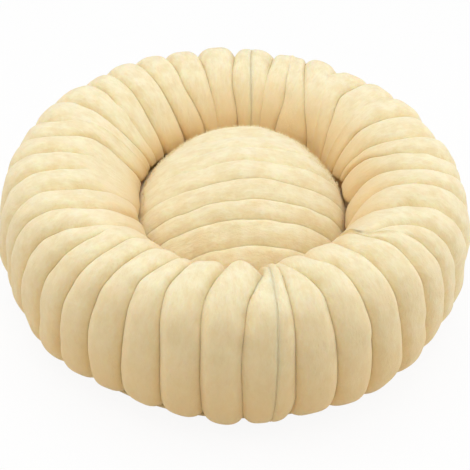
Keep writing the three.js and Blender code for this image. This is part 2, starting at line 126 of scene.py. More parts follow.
# Fibre in the bolster
RING_FIBRE_ROWS = 65
RING_FIBRE_COLUMNS = 240
RING_FIBRE_DEPTH = 1.0 * MM
RING_FIBRE_DEEPEST = 3 * MM
RING_FIBRE_LUMPS = [(0.6, 40 * MM), (0.4, 14 * MM)]

# Grooves of the bolster, each from its turn and angle at a few places
FRONT_SEAM = [(-20, -78.9), (45, -78.8), (90, -78.0), (115, -77.2), (180, -77.0)]
REAR_SEAM = [(-20, 86.5), (125, 86.4), (140, 85.4), (180, 84.2)]
LEFT_GROOVES = [
    [(-50, -85.1), (-20, -85.7), (45, -86.3), (68, -85.6), (88, -83.4), (108, -80.4), (180, -79.6)],
    [(-50, -94.9), (-20, -95.3), (30, -96.0), (60, -96.6),
     (80, -96.0), (94, -94.7), (113, -92.8), (180, -92.4)],
    [(-20, -104.8), (25, -105.4), (60, -106.4), (75, -106.7), (96, -105.3), (180, -104.0)],
    [(-20, -115.0), (20, -114.4), (58, -114.3), (75, -114.2), (94, -111.5), (180, -111.0)],
    [(-20, -123.8), (20, -123.3), (48, -122.4), (80, -121.0), (102, -119.9), (180, -118.0)],
    [(-20, -132.4), (20, -131.3), (50, -129.7), (82, -128.3), (180, -126.0)],
    [(-20, -140.4), (20, -139.4), (50, -137.2), (85, -135.1), (135, -132.0), (180, -131.0)],
    [(-20, -149.5), (36, -146.9), (50, -145.8), (68, -143.5),
     (90, -140.0), (105, -137.6), (125, -137.0), (180, -137.5)],
    [(-20, -157.0), (33, -154.7), (60, -152.9), (90, -150.4),
     (104, -148.8), (125, -148.7), (145, -151.9), (180, -157.5)],
    [(-20, -162.5), (40, -160.4), (61, -160.3), (85, -159.6),
     (102, -159.6), (120, -161.2), (140, -163.3), (180, -168.0)],
    [(-20, -171.5), (40, -169.3), (90, -169.6), (135, -172.8), (180, -180.0)],
    [(-20, -181.0), (45, -179.3), (90, -179.3), (135, -181.8), (180, -191.0)],
    [(-20, -189.8), (45, -188.0), (90, -187.4),
     (113, -191.0), (136, -193.4), (157, -194.2), (180, -200.0)],
    [(-20, -198.7), (45, -196.0), (88, -195.2), (134, -199.9), (180, -207.5)],
    [(-20, -207.0), (60, -206.0), (93, -205.6),
     (115, -205.4), (140, -206.5), (163, -210.5), (180, -214.0)],
    [(-20, -218.5), (60, -217.0), (88, -216.6),
     (103, -215.0), (120, -214.3), (148, -214.6), (180, -219.5)],
    [(-20, -228.0), (60, -225.5), (82, -224.9), (160, -224.9), (180, -227.5)],
    [(-20, -236.5), (60, -235.5), (103, -235.7), (128, -236.2), (151, -238.3), (180, -242.5)],
    [(-20, -245.3), (93, -245.3), (120, -245.5), (142, -248.4), (162, -251.7), (180, -253.0)],
    [(-20, -256.0), (83, -255.4), (125, -256.0), (145, -257.4), (180, -259.5)],
    [(-20, -267.7), (85, -266.5), (121, -265.5), (150, -268.0), (180, -269.5)],
]
RIGHT_GROOVES = [
    [(-50, -74.0), (-20, -73.8), (7, -74.3), (36, -74.7), (63, -74.7), (85, -74.6), (180, -75.0)],
    [(-50, -64.2), (-20, -63.7), (16, -64.7), (51, -65.5),
     (77, -66.0), (89, -67.7), (102, -70.8), (180, -71.4)],
    [(-50, -55.2), (-20, -54.4), (18, -55.5), (60, -56.5),
     (81, -56.9), (93, -57.8), (102, -60.2), (180, -60.5)],
    [(-50, -45.4), (-20, -44.8), (5, -45.9), (46, -47.3),
     (88, -47.9), (104, -48.2), (122, -47.6), (180, -49.0)],
    [(-50, -35.3), (-20, -34.9), (2, -36.8), (40, -38.0),
     (92, -38.6), (108, -40.2), (135, -36.4), (180, -34.6)],
    [(-20, -26.0), (8, -28.6), (54, -30.5), (73, -31.6),
     (90, -34.6), (108, -39.3), (135, -35.4), (180, -33.5)],
    [(-20, -18.5), (7, -20.3), (43, -23.5), (66, -25.2),
     (86, -27.4), (99, -33.2), (108, -38.4), (135, -34.4), (180, -32.4)],
    [(-20, -9.5), (24, -11.9), (53, -14.7), (77, -15.7),
     (94, -17.4), (113, -19.8), (134, -21.5), (180, -25.0)],
    [(-20, 2.0), (25, -1.5), (57, -5.0), (80, -6.1),
     (118, -6.8), (137, -8.3), (150, -13.1), (180, -15.0)],
    [(-20, 9.5), (33, 5.6), (68, 1.9), (90, 1.2), (109, 2.2), (131, 4.4), (147, 3.9), (180, 0.5)],
    [(-20, 16.5), (39, 11.0), (75, 8.5), (94, 9.2), (118, 12.1), (139, 17.2), (180, 21.0)],
    [(-20, 25.5), (45, 19.4), (96, 17.5), (126, 21.0), (145, 22.7), (180, 24.5)],
    [(-20, 33.0), (61, 28.5), (80, 29.5), (106, 30.5), (134, 32.2), (157, 32.0), (180, 32.5)],
    [(-20, 43.5), (60, 39.8), (90, 39.0), (135, 38.0), (180, 37.5)],
    [(-20, 51.0), (71, 49.9), (105, 50.1), (116, 48.8), (132, 46.2), (148, 44.3), (180, 42.5)],
    [(-20, 61.5), (60, 60.2), (90, 59.2), (120, 54.0), (160, 49.5), (180, 48.2)],
    [(-20, 70.5), (63, 70.6), (79, 69.6), (133, 60.8), (156, 55.4), (180, 54.3)],
    [(-20, 76.0), (60, 75.0), (103, 73.2), (132, 71.2), (158, 72.4), (180, 72.4)],
    [(-20, 81.3), (77, 80.8), (180, 80.2)],
]
# Grooves that die out: how deep each is at a few turns, as a share; the others are full all along
LEFT_FADES = {
    7: [(85, 1.0), (105, 0.25), (130, 0.5)],
    10: [(118, 1.0), (145, 0.25)],
    11: [(98, 1.0), (125, 0.1)],
    12: [(100, 1.0), (128, 0.1)],
    14: [(75, 1.0), (98, 0.0)],
    16: [(105, 1.0), (123, 0.25), (135, 0.6)],
    20: [(120, 1.0), (150, 0.7)],
}
RIGHT_FADES = {
    6: [(68, 1.0), (90, 0.15), (105, 0.0)],
    7: [(96, 1.0), (112, 0.0)],
    14: [(55, 1.0), (95, 0.1)],
    16: [(62, 1.0), (98, 0.0)],
    18: [(75, 0.0), (106, 1.0)],
    19: [(95, 1.0), (125, 0.45)],
}

# Base and well: the levels are the bottom and top of each cloth, and gathers are a depth and a count
POLE_RADIUS = 0.4 * MM
DISC_SEGMENTS = 192
TAPE_SEGMENTS = 720
EDGE_STEPS = 6
FLAT_RINGS = 12
BASE_RADIUS = 216.46 * MM
BASE_CLOTH_LEVELS = (2.6 * MM, 3.8 * MM)
GRIP_LEVELS = (1.5 * MM, 2.3 * MM)
DOT_RADIUS = 1.3 * MM
DOT_PITCH = 9 * MM
DOT_CORNERS = 8
DOT_LEVELS = [(0.55, 0.0), (0.9, 0.5 * MM), (1.0, 1.6 * MM)]
BINDING_RADII = (216.76 * MM, 220.76 * MM)
BINDING_LEVELS = (1.5 * MM, 3.8 * MM)
BINDING_GATHERS = (0.35 * MM, 180)
WELL_RADIUS = 151.0 * MM
WELL_LEVELS = (4.1 * MM, 5.3 * MM)
WELL_TAPE_RADII = (141.47 * MM, 148.4 * MM)
WELL_TAPE_LEVELS = (5.6 * MM, 6.6 * MM)
WELL_TAPE_GATHERS = (0.3 * MM, 144)

# Cushion
CUSHION_RADIUS = 122 * MM
CUSHION_TURN = math.radians(5.7)
CUSHION_BOTTOM = 5.6 * MM
CUSHION_SEAM_LEVEL = 69.6 * MM
PIPING_RADIUS = 2 * MM
PIPING_SIDES = 16
PIPING_SEGMENTS = 720
PIPING_TWIST_SHARE = 0.07
PIPING_STRANDS = 3
PIPING_TWISTS = 110

# Cushion's crown
DOME_MIDDLE = (11.9 * MM, 1.1 * MM)
DOME_RADIUS = 118.2 * MM
DOME_RISE = 67.3 * MM
DOME_FULLNESS = 1.656
STEEPEST_SHARE = 0.92
DOME_BACK_SLOPE = 0.158
DOME_BACK_RISE = 9 * MM
DOME_BACK_REACH = (60 * MM, 120 * MM)
DOME_EDGE_POWER = 16
DOME_END_SHARE = 0.9996
DOME_RIB_COLUMNS = 22
DOME_ROWS = 161
DOME_STEPS = (4, DOME_RIB_COLUMNS // 2)
TOP_FOOT_LEVEL = 71.9 * MM
TOP_COVER_THICKNESS = 9 * MM
BRIM_LEVEL = 74.5 * MM
CROWN_LUMPS = [(1.0 * MM, 60 * MM), (0.5 * MM, 22 * MM)]
CHANNEL_DEPTH = 5.5 * MM
CHANNELS = [-0.1010, -0.0779, -0.0535, -0.0333, -0.0092, 0.0166, 0.0410, 0.0660, 0.0995]
CHANNEL_SHARES = [1, 1, 1, 1, 1, 0.7, 0.45, 0.25, 0.1]
CHANNEL_FADE = 0.7
FADE_FROM_FRONT = (-30 * MM, 10 * MM)
FADE_FROM_LEFT = (-80 * MM, -25 * MM)
LINING_START = 3.5 * MM
LINING_SHARE = 0.8
WALL_GAP = 0.5 * MM
WALL_STEP = 1 * MM
WALL_START_DROP = 8 * MM
# Painted warm shade on the crown in the crease under the wall: how far in it reaches and its share
SHADED_EDGE = 12 * MM
SHADED_EDGE_SHARE = 0.5

# Cushion's underside
UNDERSIDE_ROWS = 49
UNDERSIDE_COLUMNS = 145
UNDERSIDE_RIM_LEVEL = 67.3 * MM
UNDERSIDE_THICKNESS = 1.5 * MM
UNDERSIDE_FLAT_RADIUS = 103.4 * MM
UNDERSIDE_FLAT_SHARE = 0.6
PANEL_END_TURN = 0.0026
PANEL_EDGE = 0.2 * MM
ZIP_SLOT_HALF = 5.5 * MM
ZIP_SLOT_REACH = 92.2 * MM
ZIP_SLOT_EASE = 1.0 * MM

# Fibre in the cushion; the hollow over the zip is its half length, half width and height
CUSHION_FIBRE_SEGMENTS = 160
CUSHION_FIBRE_RINGS = (30, 14, 40)
CUSHION_FIBRE_DEPTH = 0.8 * MM
CUSHION_FIBRE_LUMPS = [(0.7, 30 * MM)]
FIBRE_FLAT_INSET = 2 * MM
FIBRE_RIM_INSET = 4.3 * MM
FIBRE_TOP_INSET = 1 * MM
FIBRE_FLANK_START = 0.1
FIBRE_SPREAD = 1.008
ZIP_HOLLOW = (101.5 * MM, 19 * MM, 11.2 * MM)

# Tufts of pile; the shares are of a tuft's length, and the root's of its width
TUFT_CORNERS = 3
TUFT_HALF_WIDTH = 0.26 * MM
TUFT_ROOT_SHARE = 0.6
TUFT_SUNK_SHARE = 0.1
TUFT_BELLY_SHARE = 0.45
TUFT_BEND_SHARE = 0.12
SMALLEST_AREA = 1e-12

# Pile on the cushion's edge
SEAT_TUFTS = 8000
SEAT_TUFT_LENGTHS_IN_MM = (1.6, 3.4)
REAR_EDGE_SHARES = (0.1, 0.5)
REAR_EDGE_BAND = (88 * MM, 108 * MM, 116 * MM, 121 * MM)
REAR_EDGE_ROOM = 1 * MM
CONTACT_BAND = (-6 * MM, -2 * MM, 2 * MM, 5 * MM)
CONTACT_FRONT = -60 * MM
CONTACT_RISE = 2 * MM
CONTACT_WEIGHT = 3
UPRIGHT_LEAN = (0, 0, 0.5)
FACING_LEAN = 0.6
STRAY_LEAN = 0.5
LONGER_SHARE = 0.7
LONGER_ROOM = (2 * MM, 5 * MM)
UNDER_WALL_SHARE = 0.6
TIP_SHARE = 1.2
TIP_ROOM_SHARE = 0.6
TIP_ROOM_OUT = 0.5 * MM
TIP_ROOM_UP = 1 * MM
SHORTEST_TUFT = 0.8 * MM

# Camera, turned a little about its own axis as the photograph is
CAMERA_ELEVATION = math.radians(40.6)
CAMERA_DISTANCE = 1330.5 * MM
CAMERA_TARGET = Vector((1.09, 0, 49.74)) * MM
CAMERA_ROLL = 0.059
PHOTO_SIZE = 470
FOCAL_LENGTH_IN_PIXELS = 1217.0

# Stage: each lamp is its place, size and power
WHITE = (1.0, 1.0, 1.0, 1.0)
WORLD_LIGHT = 0.55
LAMP_COLOUR = (1.0, 0.99, 0.97)
LAMPS = {
    "soft_box": ((-0.15, 0.08, 1.45), 1.4, 11.4),
    "left_fill": ((-1.35, -0.3, 0.35), 0.8, 2.0),
    "right_fill": ((1.35, 0.05, 0.45), 0.8, 4.3),
}
FLOOR_SIZE = 8.0
FLOOR_COLOUR = (0.8, 0.7, 0.54, 1.0)
FLOOR_SEEN_COLOUR = (0.92, 0.92, 0.92, 1.0)
FLOOR_GLOW_SHARE = 0.9

# Scale at which the bands of a wave texture lie a metre apart
WAVE_SCALE = 0.314


# Curves and surfaces


def through(points, at):
    """A smooth line through points: cubic pieces whose slope at a point is taken from its neighbours."""
    stations, values = np.array(points, float).T
    slopes = np.gradient(values, stations)
    slopes[0] = slopes[-1] = 0
    place = np.clip(at, stations[0], stations[-1])
    piece = np.clip(np.searchsorted(stations, place, side="right") - 1, 0, len(stations) - 2)
    width = stations[piece + 1] - stations[piece]
    share = (place - stations[piece]) / width
    ease = share * share * (3 - 2 * share)
    bend = share * (1 - share) ** 2 * slopes[piece] - share * share * (1 - share) * slopes[piece + 1]
    return (1 - ease) * values[piece] + ease * values[piece + 1] + width * bend


def rising(value, low, high):
    """0 below low, 1 above high and a smooth S between them."""
    share = np.clip((value - low) / (high - low), 0, 1)
    return share * share * (3 - 2 * share)


def hump(angle, middle, width):
    """A bell round an angle, in degrees."""
    away = (angle - middle + 180) % 360 - 180
    return np.exp(-((away / width) ** 2))


def humps(angle, bells, start=0.0):
    """A sum of bells round an angle, each with its height, middle and width, on top of a start."""
    return sum((height * hump(angle, middle, width) for height, middle, width in bells), start)


def band(value, low, full, fading, high):
    """A smooth band: 0 up to low, 1 from full to fading and 0 again from high."""
    return rising(value, low, full) * (1 - rising(value, fading, high))


def waves(points, size, seed, count=18):
    """A smooth random height at each point, mostly between -1 and 1: a sum of waves in random directions."""
    random = np.random.default_rng(seed)
    total = np.zeros(points.shape[:-1])
    for _ in range(count):
        direction = random.normal(size=3)
        direction /= np.linalg.norm(direction)
        length = size * random.uniform(0.7, 1.6)
        total += np.sin(points @ direction * (2 * math.pi / length) + random.uniform(0, 2 * math.pi))
    return total / math.sqrt(count)


def lumps(points, layers, seed, start=0.0):
    """Uneven heights above a start: waves of each depth and size, each with the next seed."""
    heights = (depth * waves(points, size, seed + number) for number, (depth, size) in enumerate(layers))
    return sum(heights, start)


def section(turn, inset=0.0):
    """Radius and height on the bolster's section: a superellipse, boxier below its waist, less an inset."""
    across = np.cos(np.radians(turn))
    up = np.sin(np.radians(turn))
    fullness = np.where(up > 0, UPPER_FULLNESS, LOWER_FULLNESS)
    reach = (BOLSTER_HALF_WIDTH - inset) * np.sign(across) * np.abs(across) ** (2 / fullness)
    lift = np.abs(up) ** (2 / fullness)
    above = WAIST_HEIGHT + (BED_HEIGHT - WAIST_HEIGHT - inset) * lift
    return RING_RADIUS + reach, np.where(up > 0, above, WAIST_HEIGHT * (1 - lift))


def section_facing(turn):
    """The direction that the section faces, out and up: a quarter turn from its line over a short step."""
    ahead, behind = section(turn + FACING_STEP), section(turn - FACING_STEP)
    out, up = ahead[1] - behind[1], behind[0] - ahead[0]
    length = np.hypot(out, up)
    return out / length, up / length


def wall_bulge(angle):
    """How far the inner wall bulges over the cushion, most at the left."""
    return humps(angle, WALL_BULGES, WALL_BULGE_LEAST)


def dome(x, y):
    """Height of the free cushion over a place in plan: a round dome that is higher at the back.

    Its side follows a superellipse, and a straight slope from where that gets too steep.
    """
    across, back = x - DOME_MIDDLE[0], y - DOME_MIDDLE[1]
    share = np.hypot(across, back) / DOME_RADIUS
    round_share = np.minimum(share, STEEPEST_SHARE)
    lift = (1 - round_share**DOME_FULLNESS) ** (1 / DOME_FULLNESS)
    below = 1 - STEEPEST_SHARE**DOME_FULLNESS
    slope = STEEPEST_SHARE ** (DOME_FULLNESS - 1) * below ** (1 / DOME_FULLNESS - 1)
    lift = np.maximum(lift - slope * (share - round_share), 0)
    height = BRIM_LEVEL + DOME_RISE * lift + DOME_BACK_SLOPE * back
    height = np.maximum(height + DOME_BACK_RISE * rising(back, *DOME_BACK_REACH), BRIM_LEVEL)
    edge = np.sqrt(np.clip(1 - (np.hypot(x, y) / CUSHION_RADIUS) ** DOME_EDGE_POWER, 0, 1))
    return TOP_FOOT_LEVEL + (height - TOP_FOOT_LEVEL) * edge


def overhang(angle, turn, height):
    """The inner wall's bulge at a height: it starts near the crown and is drawn in again at the top."""
    bulge = wall_bulge(angle)
    contact = RING_RADIUS - BOLSTER_HALF_WIDTH - bulge
    around = np.radians(angle)
    start = dome(contact * np.cos(around), contact * np.sin(around)) - BULGE_UNDER_DOME
    start = np.maximum(start, BULGE_LOWEST)
    full = start + BULGE_RISE
    fading, gone = BULGE_DRAWN_IN
    return bulge * band(height, start, full, np.maximum(full, fading), gone) * (turn > 90)


def ring_surface(angle, turn, inset=0.0, sink=0.0):
    """Points of the bolster at an angle round the bed and a turn round its section, none below its foot.

    The inset shrinks the section evenly, and the sink lowers its surface along the direction that it faces.
    """
    radius, height = section(turn, inset)
    out, up = section_facing(turn)
    radius = radius - overhang(angle, turn, height) - sink * out
    height = np.maximum(height - sink * up, FOOT_LEVEL)
    around = np.radians(angle)
    return np.stack([radius * np.cos(around), radius * np.sin(around), height], -1)


def section_lengths():
    """Turns at small steps, and the length along the section up to each."""
    fine = np.linspace(*FINE_TURNS)
    radius, height = section(fine)
    steps = np.hypot(np.diff(radius), np.diff(height))
    return fine, np.concatenate([[0], np.cumsum(steps)])


fine_turns, fine_lengths = section_lengths()


def length_at(turn):
    """Length along the section up to a turn."""
    return np.interp(turn, fine_turns, fine_lengths)


def line_at(line, turns):
    """Angle of a groove or seam at each turn: a line that is smooth along the section's own length."""
    stations, angles = np.array(line, float).T
    return through(np.stack([length_at(stations), angles], -1), length_at(turns))


def cover_turns(rows):
    """Turns from the outer foot over the top to the inner foot, at equal steps along the section."""
    foot = math.degrees(math.asin(((WAIST_HEIGHT - FOOT_LEVEL) / WAIST_HEIGHT) ** (LOWER_FULLNESS / 2)))
    lengths = np.linspace(length_at(-foot), length_at(180 + foot), rows)
    return np.interp(lengths, fine_lengths, fine_turns), lengths - lengths[0]


# Meshes


def grid_faces(rows, columns, ring_columns=False, ring_rows=False):
    """Four-sided faces over a grid of points, closed round its columns or its rows where they are a ring."""
    row = np.arange(rows if ring_rows else rows - 1)[:, None]
    column = np.arange(columns if ring_columns else columns - 1)
    start, below = row * columns, (row + 1) % rows * columns
    beside = (column + 1) % columns
    corners = [start + column, below + column, below + beside, start + beside]
    return np.stack(corners, -1).reshape(-1, 4)


def closing_faces(rows, columns):
    """Four-sided faces from the first row of a grid to its last, closed round its columns."""
    first = np.arange(columns)
    beside = (first + 1) % columns
    last = (rows - 1) * columns
    return np.stack([first, beside, last + beside, last + first], -1)


def rim_faces(outer, inner, step, descending):
    """Side faces between an outer edge and a coarser inner one: each spans one step of the inner edge."""
    first = np.arange(len(inner) - 1)
    span = outer[first[:, None] * step + np.arange(step + 1)]
    if descending:
        return np.concatenate([span[:, ::-1], inner[first][:, None], inner[first + 1][:, None]], 1)
    return np.concatenate([span, inner[first + 1][:, None], inner[first][:, None]], 1)


def volume_of(points, blocks):
    """Volume that the faces enclose: the sum of the pyramids from the origin to each face."""
    total = 0.0
    for faces in blocks:
        corner = points[faces]
        for i in range(1, faces.shape[1] - 1):
            total += (corner[:, 0] * np.cross(corner[:, i], corner[:, i + 1])).sum() / 6
    return total


def make_piece(name, points, blocks, finish, body, replaces, uv=None, values=None, flat_blocks=()):
    """An object from points and blocks of faces, each block's with as many corners.

    All the faces are turned over where the volume that they enclose would be negative.
    """
    points = points.reshape(-1, 3)
    if volume_of(points, blocks) < 0:
        blocks = [faces[:, ::-1] for faces in blocks]
    sizes = np.concatenate([np.full(len(faces), faces.shape[1]) for faces in blocks])
    smooth = np.concatenate([np.full(len(faces), i not in flat_blocks) for i, faces in enumerate(blocks)])
    corners = np.concatenate([faces.ravel() for faces in blocks])
    mesh = bpy.data.meshes.new(name)
    mesh.vertices.add(len(points))
    mesh.vertices.foreach_set("co", points.ravel())
    mesh.loops.add(len(corners))
    mesh.loops.foreach_set("vertex_index", corners)
    mesh.polygons.add(len(sizes))
    mesh.polygons.foreach_set("loop_start", np.cumsum(sizes) - sizes)
    mesh.polygons.foreach_set("loop_total", sizes)
    mesh.polygons.foreach_set("use_smooth", smooth)
    mesh.update(calc_edges=True)
    if uv is not None:
        layer = mesh.uv_layers.new(name="along")
        layer.data.foreach_set("uv", uv.reshape(-1, 2)[corners].ravel())
    for key, value in (values or {}).items():
        attribute = mesh.attributes.new(key, "FLOAT", "POINT")
        attribute.data.foreach_set("value", value.ravel())
    mesh.materials.append(finish)
    piece = bpy.data.objects.new(name, mesh)
    bpy.context.scene.collection.objects.link(piece)
    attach(piece, body)
    if replaces:
        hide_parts(replaces)
    return piece


def shell(outer, inner, row_step, column_step):
    """Points and faces of a closed wall: an outer grid, a coarser inner one and four sides between them."""
    rows, columns = outer.shape[:2]
    inner_rows, inner_columns = inner.shape[:2]
    start = rows * columns
    outer_index = np.arange(start).reshape(rows, columns)
    inner_index = start + np.arange(inner_rows * inner_columns).reshape(inner_rows, inner_columns)
    blocks = [
        grid_faces(rows, columns),
        start + grid_faces(inner_rows, inner_columns)[:, ::-1],
        rim_faces(outer_index[:, 0], inner_index[:, 0], row_step, True),
        rim_faces(outer_index[:, -1], inner_index[:, -1], row_step, False),
        rim_faces(outer_index[0], inner_index[0], column_step, False),
        rim_faces(outer_index[-1], inner_index[-1], column_step, True),
    ]
    return np.concatenate([outer.reshape(-1, 3), inner.reshape(-1, 3)]), blocks


def both(outer, inner):
    """Values of an outer and an inner grid, in the order of a shell's points."""
    size = outer.shape[-1] if outer.ndim == 3 else 1
    return np.concatenate([outer.reshape(-1, size), inner.reshape(-1, size)])


def shell_piece(name, node, outer, inner, steps, finish, body, uv=None, values=None):
    """A closed wall as a piece: its inner grid takes UV places from the outer one, and 0 as values."""
    points, blocks = shell(outer, inner, *steps)
    if uv is not None:
        uv = both(uv, uv[:: steps[0], :: steps[1]])
    plain = np.zeros(inner.shape[:2])
    values = {key: both(value, plain) for key, value in (values or {}).items()}
    return make_piece(name, points, blocks, finish, body, node, uv, values, flat_blocks=(2, 3, 4, 5))


# Finishes


def colour(red, green, blue):
    """A colour written in the 0 to 255 steps of a screen, as the shader's linear values."""
    steps = np.array([red, green, blue]) / 255
    linear = np.where(steps <= 0.04045, steps / 12.92, ((steps + 0.055) / 1.055) ** 2.4)
    return (*linear.tolist(), 1.0)


class Value:
    """A socket whose sums are written as sums: each operator adds its Math node."""

    def __init__(self, nodes, socket):
        self.nodes = nodes
        self.socket = socket

    def joined(self, operation, first, second):
        return self.nodes.add("ShaderNodeMath", {"operation": operation}, {0: first, 1: second})

    def __add__(self, other):
        return self.joined("ADD", self, other)

    def __radd__(self, other):
        return self.joined("ADD", other, self)

    def __sub__(self, other):
        return self.joined("SUBTRACT", self, other)

    def __rsub__(self, other):
        return self.joined("SUBTRACT", other, self)

    def __mul__(self, other):
        return self.joined("MULTIPLY", self, other)

    def __rmul__(self, other):
        return self.joined("MULTIPLY", other, self)


class Nodes:
    """A tree of nodes, of a material or of the world."""

    def __init__(self, tree):
        self.tree = tree

    def add(self, kind, settings, inputs, output=0):
        """A node of a kind: its settings first, then the numbers or links of its sockets."""
        node = self.tree.nodes.new(kind)
        for key, setting in settings.items():
            setattr(node, key, setting)
        for key, value in inputs.items():
            if isinstance(value, Value):
                self.tree.links.new(value.socket, node.inputs[key])
            else:
                node.inputs[key].default_value = value
        return Value(self, node.outputs[output])

    def feed(self, value, node, socket):
        """Links a value to a socket of a node that the tree began with."""
        self.tree.links.new(value.socket, self.tree.nodes[node].inputs[socket])

    def seen_directly(self):
        """1 for rays from the camera and those that metal and glass send on."""
        kinds = ("Camera", "Glossy", "Transmission")
        rays = [self.add("ShaderNodeLightPath", {}, {}, f"Is {kind} Ray") for kind in kinds]
        return self.add("ShaderNodeMath", {"operation": "MAXIMUM"}, {0: rays[0], 1: rays[1] + rays[2]})


class Finish(Nodes):
    """A material and its nodes."""

    def __init__(self, name, **constants):
        self.material = bpy.data.materials.new(name)
        self.material.use_nodes = True
        super().__init__(self.material.node_tree)
        self.shader = self.tree.nodes["Principled BSDF"]
        for key, value in constants.items():
            self.shader.inputs[key.replace("_", " ")].default_value = value

    def place(self):
        return self.add("ShaderNodeTexCoord", {}, {}, "Object")

    def along(self):
        return self.add("ShaderNodeTexCoord", {}, {}, "UV")

    def attribute(self, name):
        return self.add("ShaderNodeAttribute", {"attribute_name": name}, {}, "Fac")

    def vector(self, operation, inputs):
        return self.add("ShaderNodeVectorMath", {"operation": operation}, inputs)

    def scaled(self, vector, x, y, z):
        return self.vector("MULTIPLY", {0: vector, 1: (x, y, z)})

    def shifted(self, vector, shift, amount):
        """A vector moved by a noise colour less its middle, times an amount."""
        centred = self.vector("SUBTRACT", {0: shift, 1: (0.5, 0.5, 0.5)})
        moved = self.vector("SCALE", {0: centred, "Scale": amount})
        return self.vector("ADD", {0: vector, 1: moved})

    def noise(self, vector, size, detail=2.0, roughness=0.5, output=0):
        """Noise whose patches are about a size across."""
        inputs = {"Vector": vector, "Scale": 1 / size, "Detail": detail, "Roughness": roughness}
        return self.add("ShaderNodeTexNoise", {}, inputs, output)

    def between(self, value, low, high, start=0.0, end=1.0):
        """A smooth step from start, where the value is low, to end, where it is high."""
        inputs = {"Value": value, "From Min": low, "From Max": high, "To Min": start, "To Max": end}
        return self.add("ShaderNodeMapRange", {"interpolation_type": "SMOOTHSTEP"}, inputs)

    def blend(self, share, first, second):
        """A colour between two, by the second one's share."""
        return self.add("ShaderNodeMix", {"data_type": "RGBA"}, {0: share, 6: first, 7: second}, 2)

    def paint(self, value, socket="Base Color"):
        self.feed(value, "Principled BSDF", socket)

    def bump(self, height, distance, strength):
        inputs = {"Height": height, "Distance": distance, "Strength": strength}
        self.paint(self.add("ShaderNodeBump", {}, inputs), "Normal")


def plush_finish(name, glow):
    """Short soft pile: mottled patches, wisps that run along the ribs, a thin dull line down each groove, and
    painted warm shade from an attribute.

    The glow is the share of the light that spreads under the surface; thin pieces have none.
    """
    finish = Finish(
        name,
        Roughness=0.95,
        Sheen_Weight=0.2,
        Sheen_Roughness=0.5,
        Subsurface_Weight=glow,
        Subsurface_Scale=6 * MM,
        Subsurface_Radius=(1.0, 0.62, 0.3),
        Sheen_Tint=(1.0, 0.96, 0.86, 1.0),
    )
    place = finish.place()
    drift = finish.noise(place, 22 * MM, output=1)
    along = finish.shifted(finish.along(), drift, 5 * MM)
    mottle = finish.noise(place, 16 * MM, 3.0, 0.6)
    wisps = finish.noise(finish.scaled(along, 1.0, 0.3, 1.0), 4.5 * MM, 4.0, 0.65)
    fibres = finish.noise(finish.scaled(along, 1.0, 0.22, 1.0), 1.1 * MM, 3.0, 0.7)
    tone = mottle * 0.45 + wisps * 0.35 + fibres * 0.2
    pile = finish.blend(finish.between(tone, 0.34, 0.66), colour(238, 220, 175), colour(250, 240, 206))
    # Painted warm shade: a warmer, darker pile colour low on the walls and in creases, where the attribute
    # gives it, spread unevenly by the mottle
    warm_shade = finish.attribute("warm_shade") + 0.5 * (mottle - 0.5)
    shaded_pile = finish.blend(finish.between(warm_shade, 0.0, 1.0, 0.0, 0.9), pile, colour(238, 206, 150))
    groove = finish.attribute("groove")
    line = finish.between(groove + 0.08 * (fibres - 0.5), 0.8, 0.95, 0.0, 0.35)
    finish.paint(finish.blend(line, shaded_pile, colour(206, 190, 148)))
    finish.bump(0.6 * mottle + 1.0 * wisps + 0.6 * fibres, 2.2 * MM, 0.5)
    return finish.material


def cloth_finish(name, dark, light, pitch):
    """Plain weave: two sets of threads that pass over each other in turn."""
    finish = Finish(name, Roughness=0.9, Sheen_Weight=0.15)
    place = finish.place()
    bands = {"Vector": place, "Scale": WAVE_SCALE / pitch}
    warp, weft = (finish.add("ShaderNodeTexWave", {"bands_direction": axis}, bands) for axis in "XY")
    slub = finish.noise(place, 9 * MM, 3.0)
    weave = 0.5 * warp + 0.5 * weft
    finish.paint(finish.blend(0.25 * weave + 0.75 * slub, dark, light))
    finish.bump(weave, 0.3 * MM, 0.25)
    return finish.material


def tape_finish(name, dark, light):
    """Narrow ribbed tape: fine cords across it, with uneven dye."""
    finish = Finish(name, Roughness=0.9, Sheen_Weight=0.2)
    place = finish.place()
    cords = finish.noise(place, 1.2 * MM, 3.0)
    dye = finish.noise(place, 14 * MM, 2.0)
    finish.paint(finish.blend(0.5 * cords + 0.5 * dye, dark, light))
    finish.bump(cords, 0.4 * MM, 0.5)
    return finish.material


def fibre_finish():
    """Loose white fibre: fine curled strands in soft lumps."""
    finish = Finish("loose_fibre", Roughness=1.0, Sheen_Weight=0.4)
    place = finish.place()
    curls = finish.shifted(place, finish.noise(place, 8 * MM, output=1), 12 * MM)
    strands = finish.noise(finish.scaled(curls, 1.0, 0.4, 1.0), 1.5 * MM, 4.0, 0.7)
    finish.paint(finish.blend(strands, colour(226, 224, 218), colour(252, 251, 248)))
    finish.bump(strands, 1.2 * MM, 0.7)
    return finish.material


def plain_finish(name, dark, light, size, depth, **constants):
    """Moulded or plated: a nearly even colour with a fine grain."""
    finish = Finish(name, **constants)
    place = finish.place()
    grain = finish.noise(place, size, 3.0)
    finish.paint(finish.blend(grain, dark, light))
    finish.bump(grain, depth, 0.4)
    return finish.material


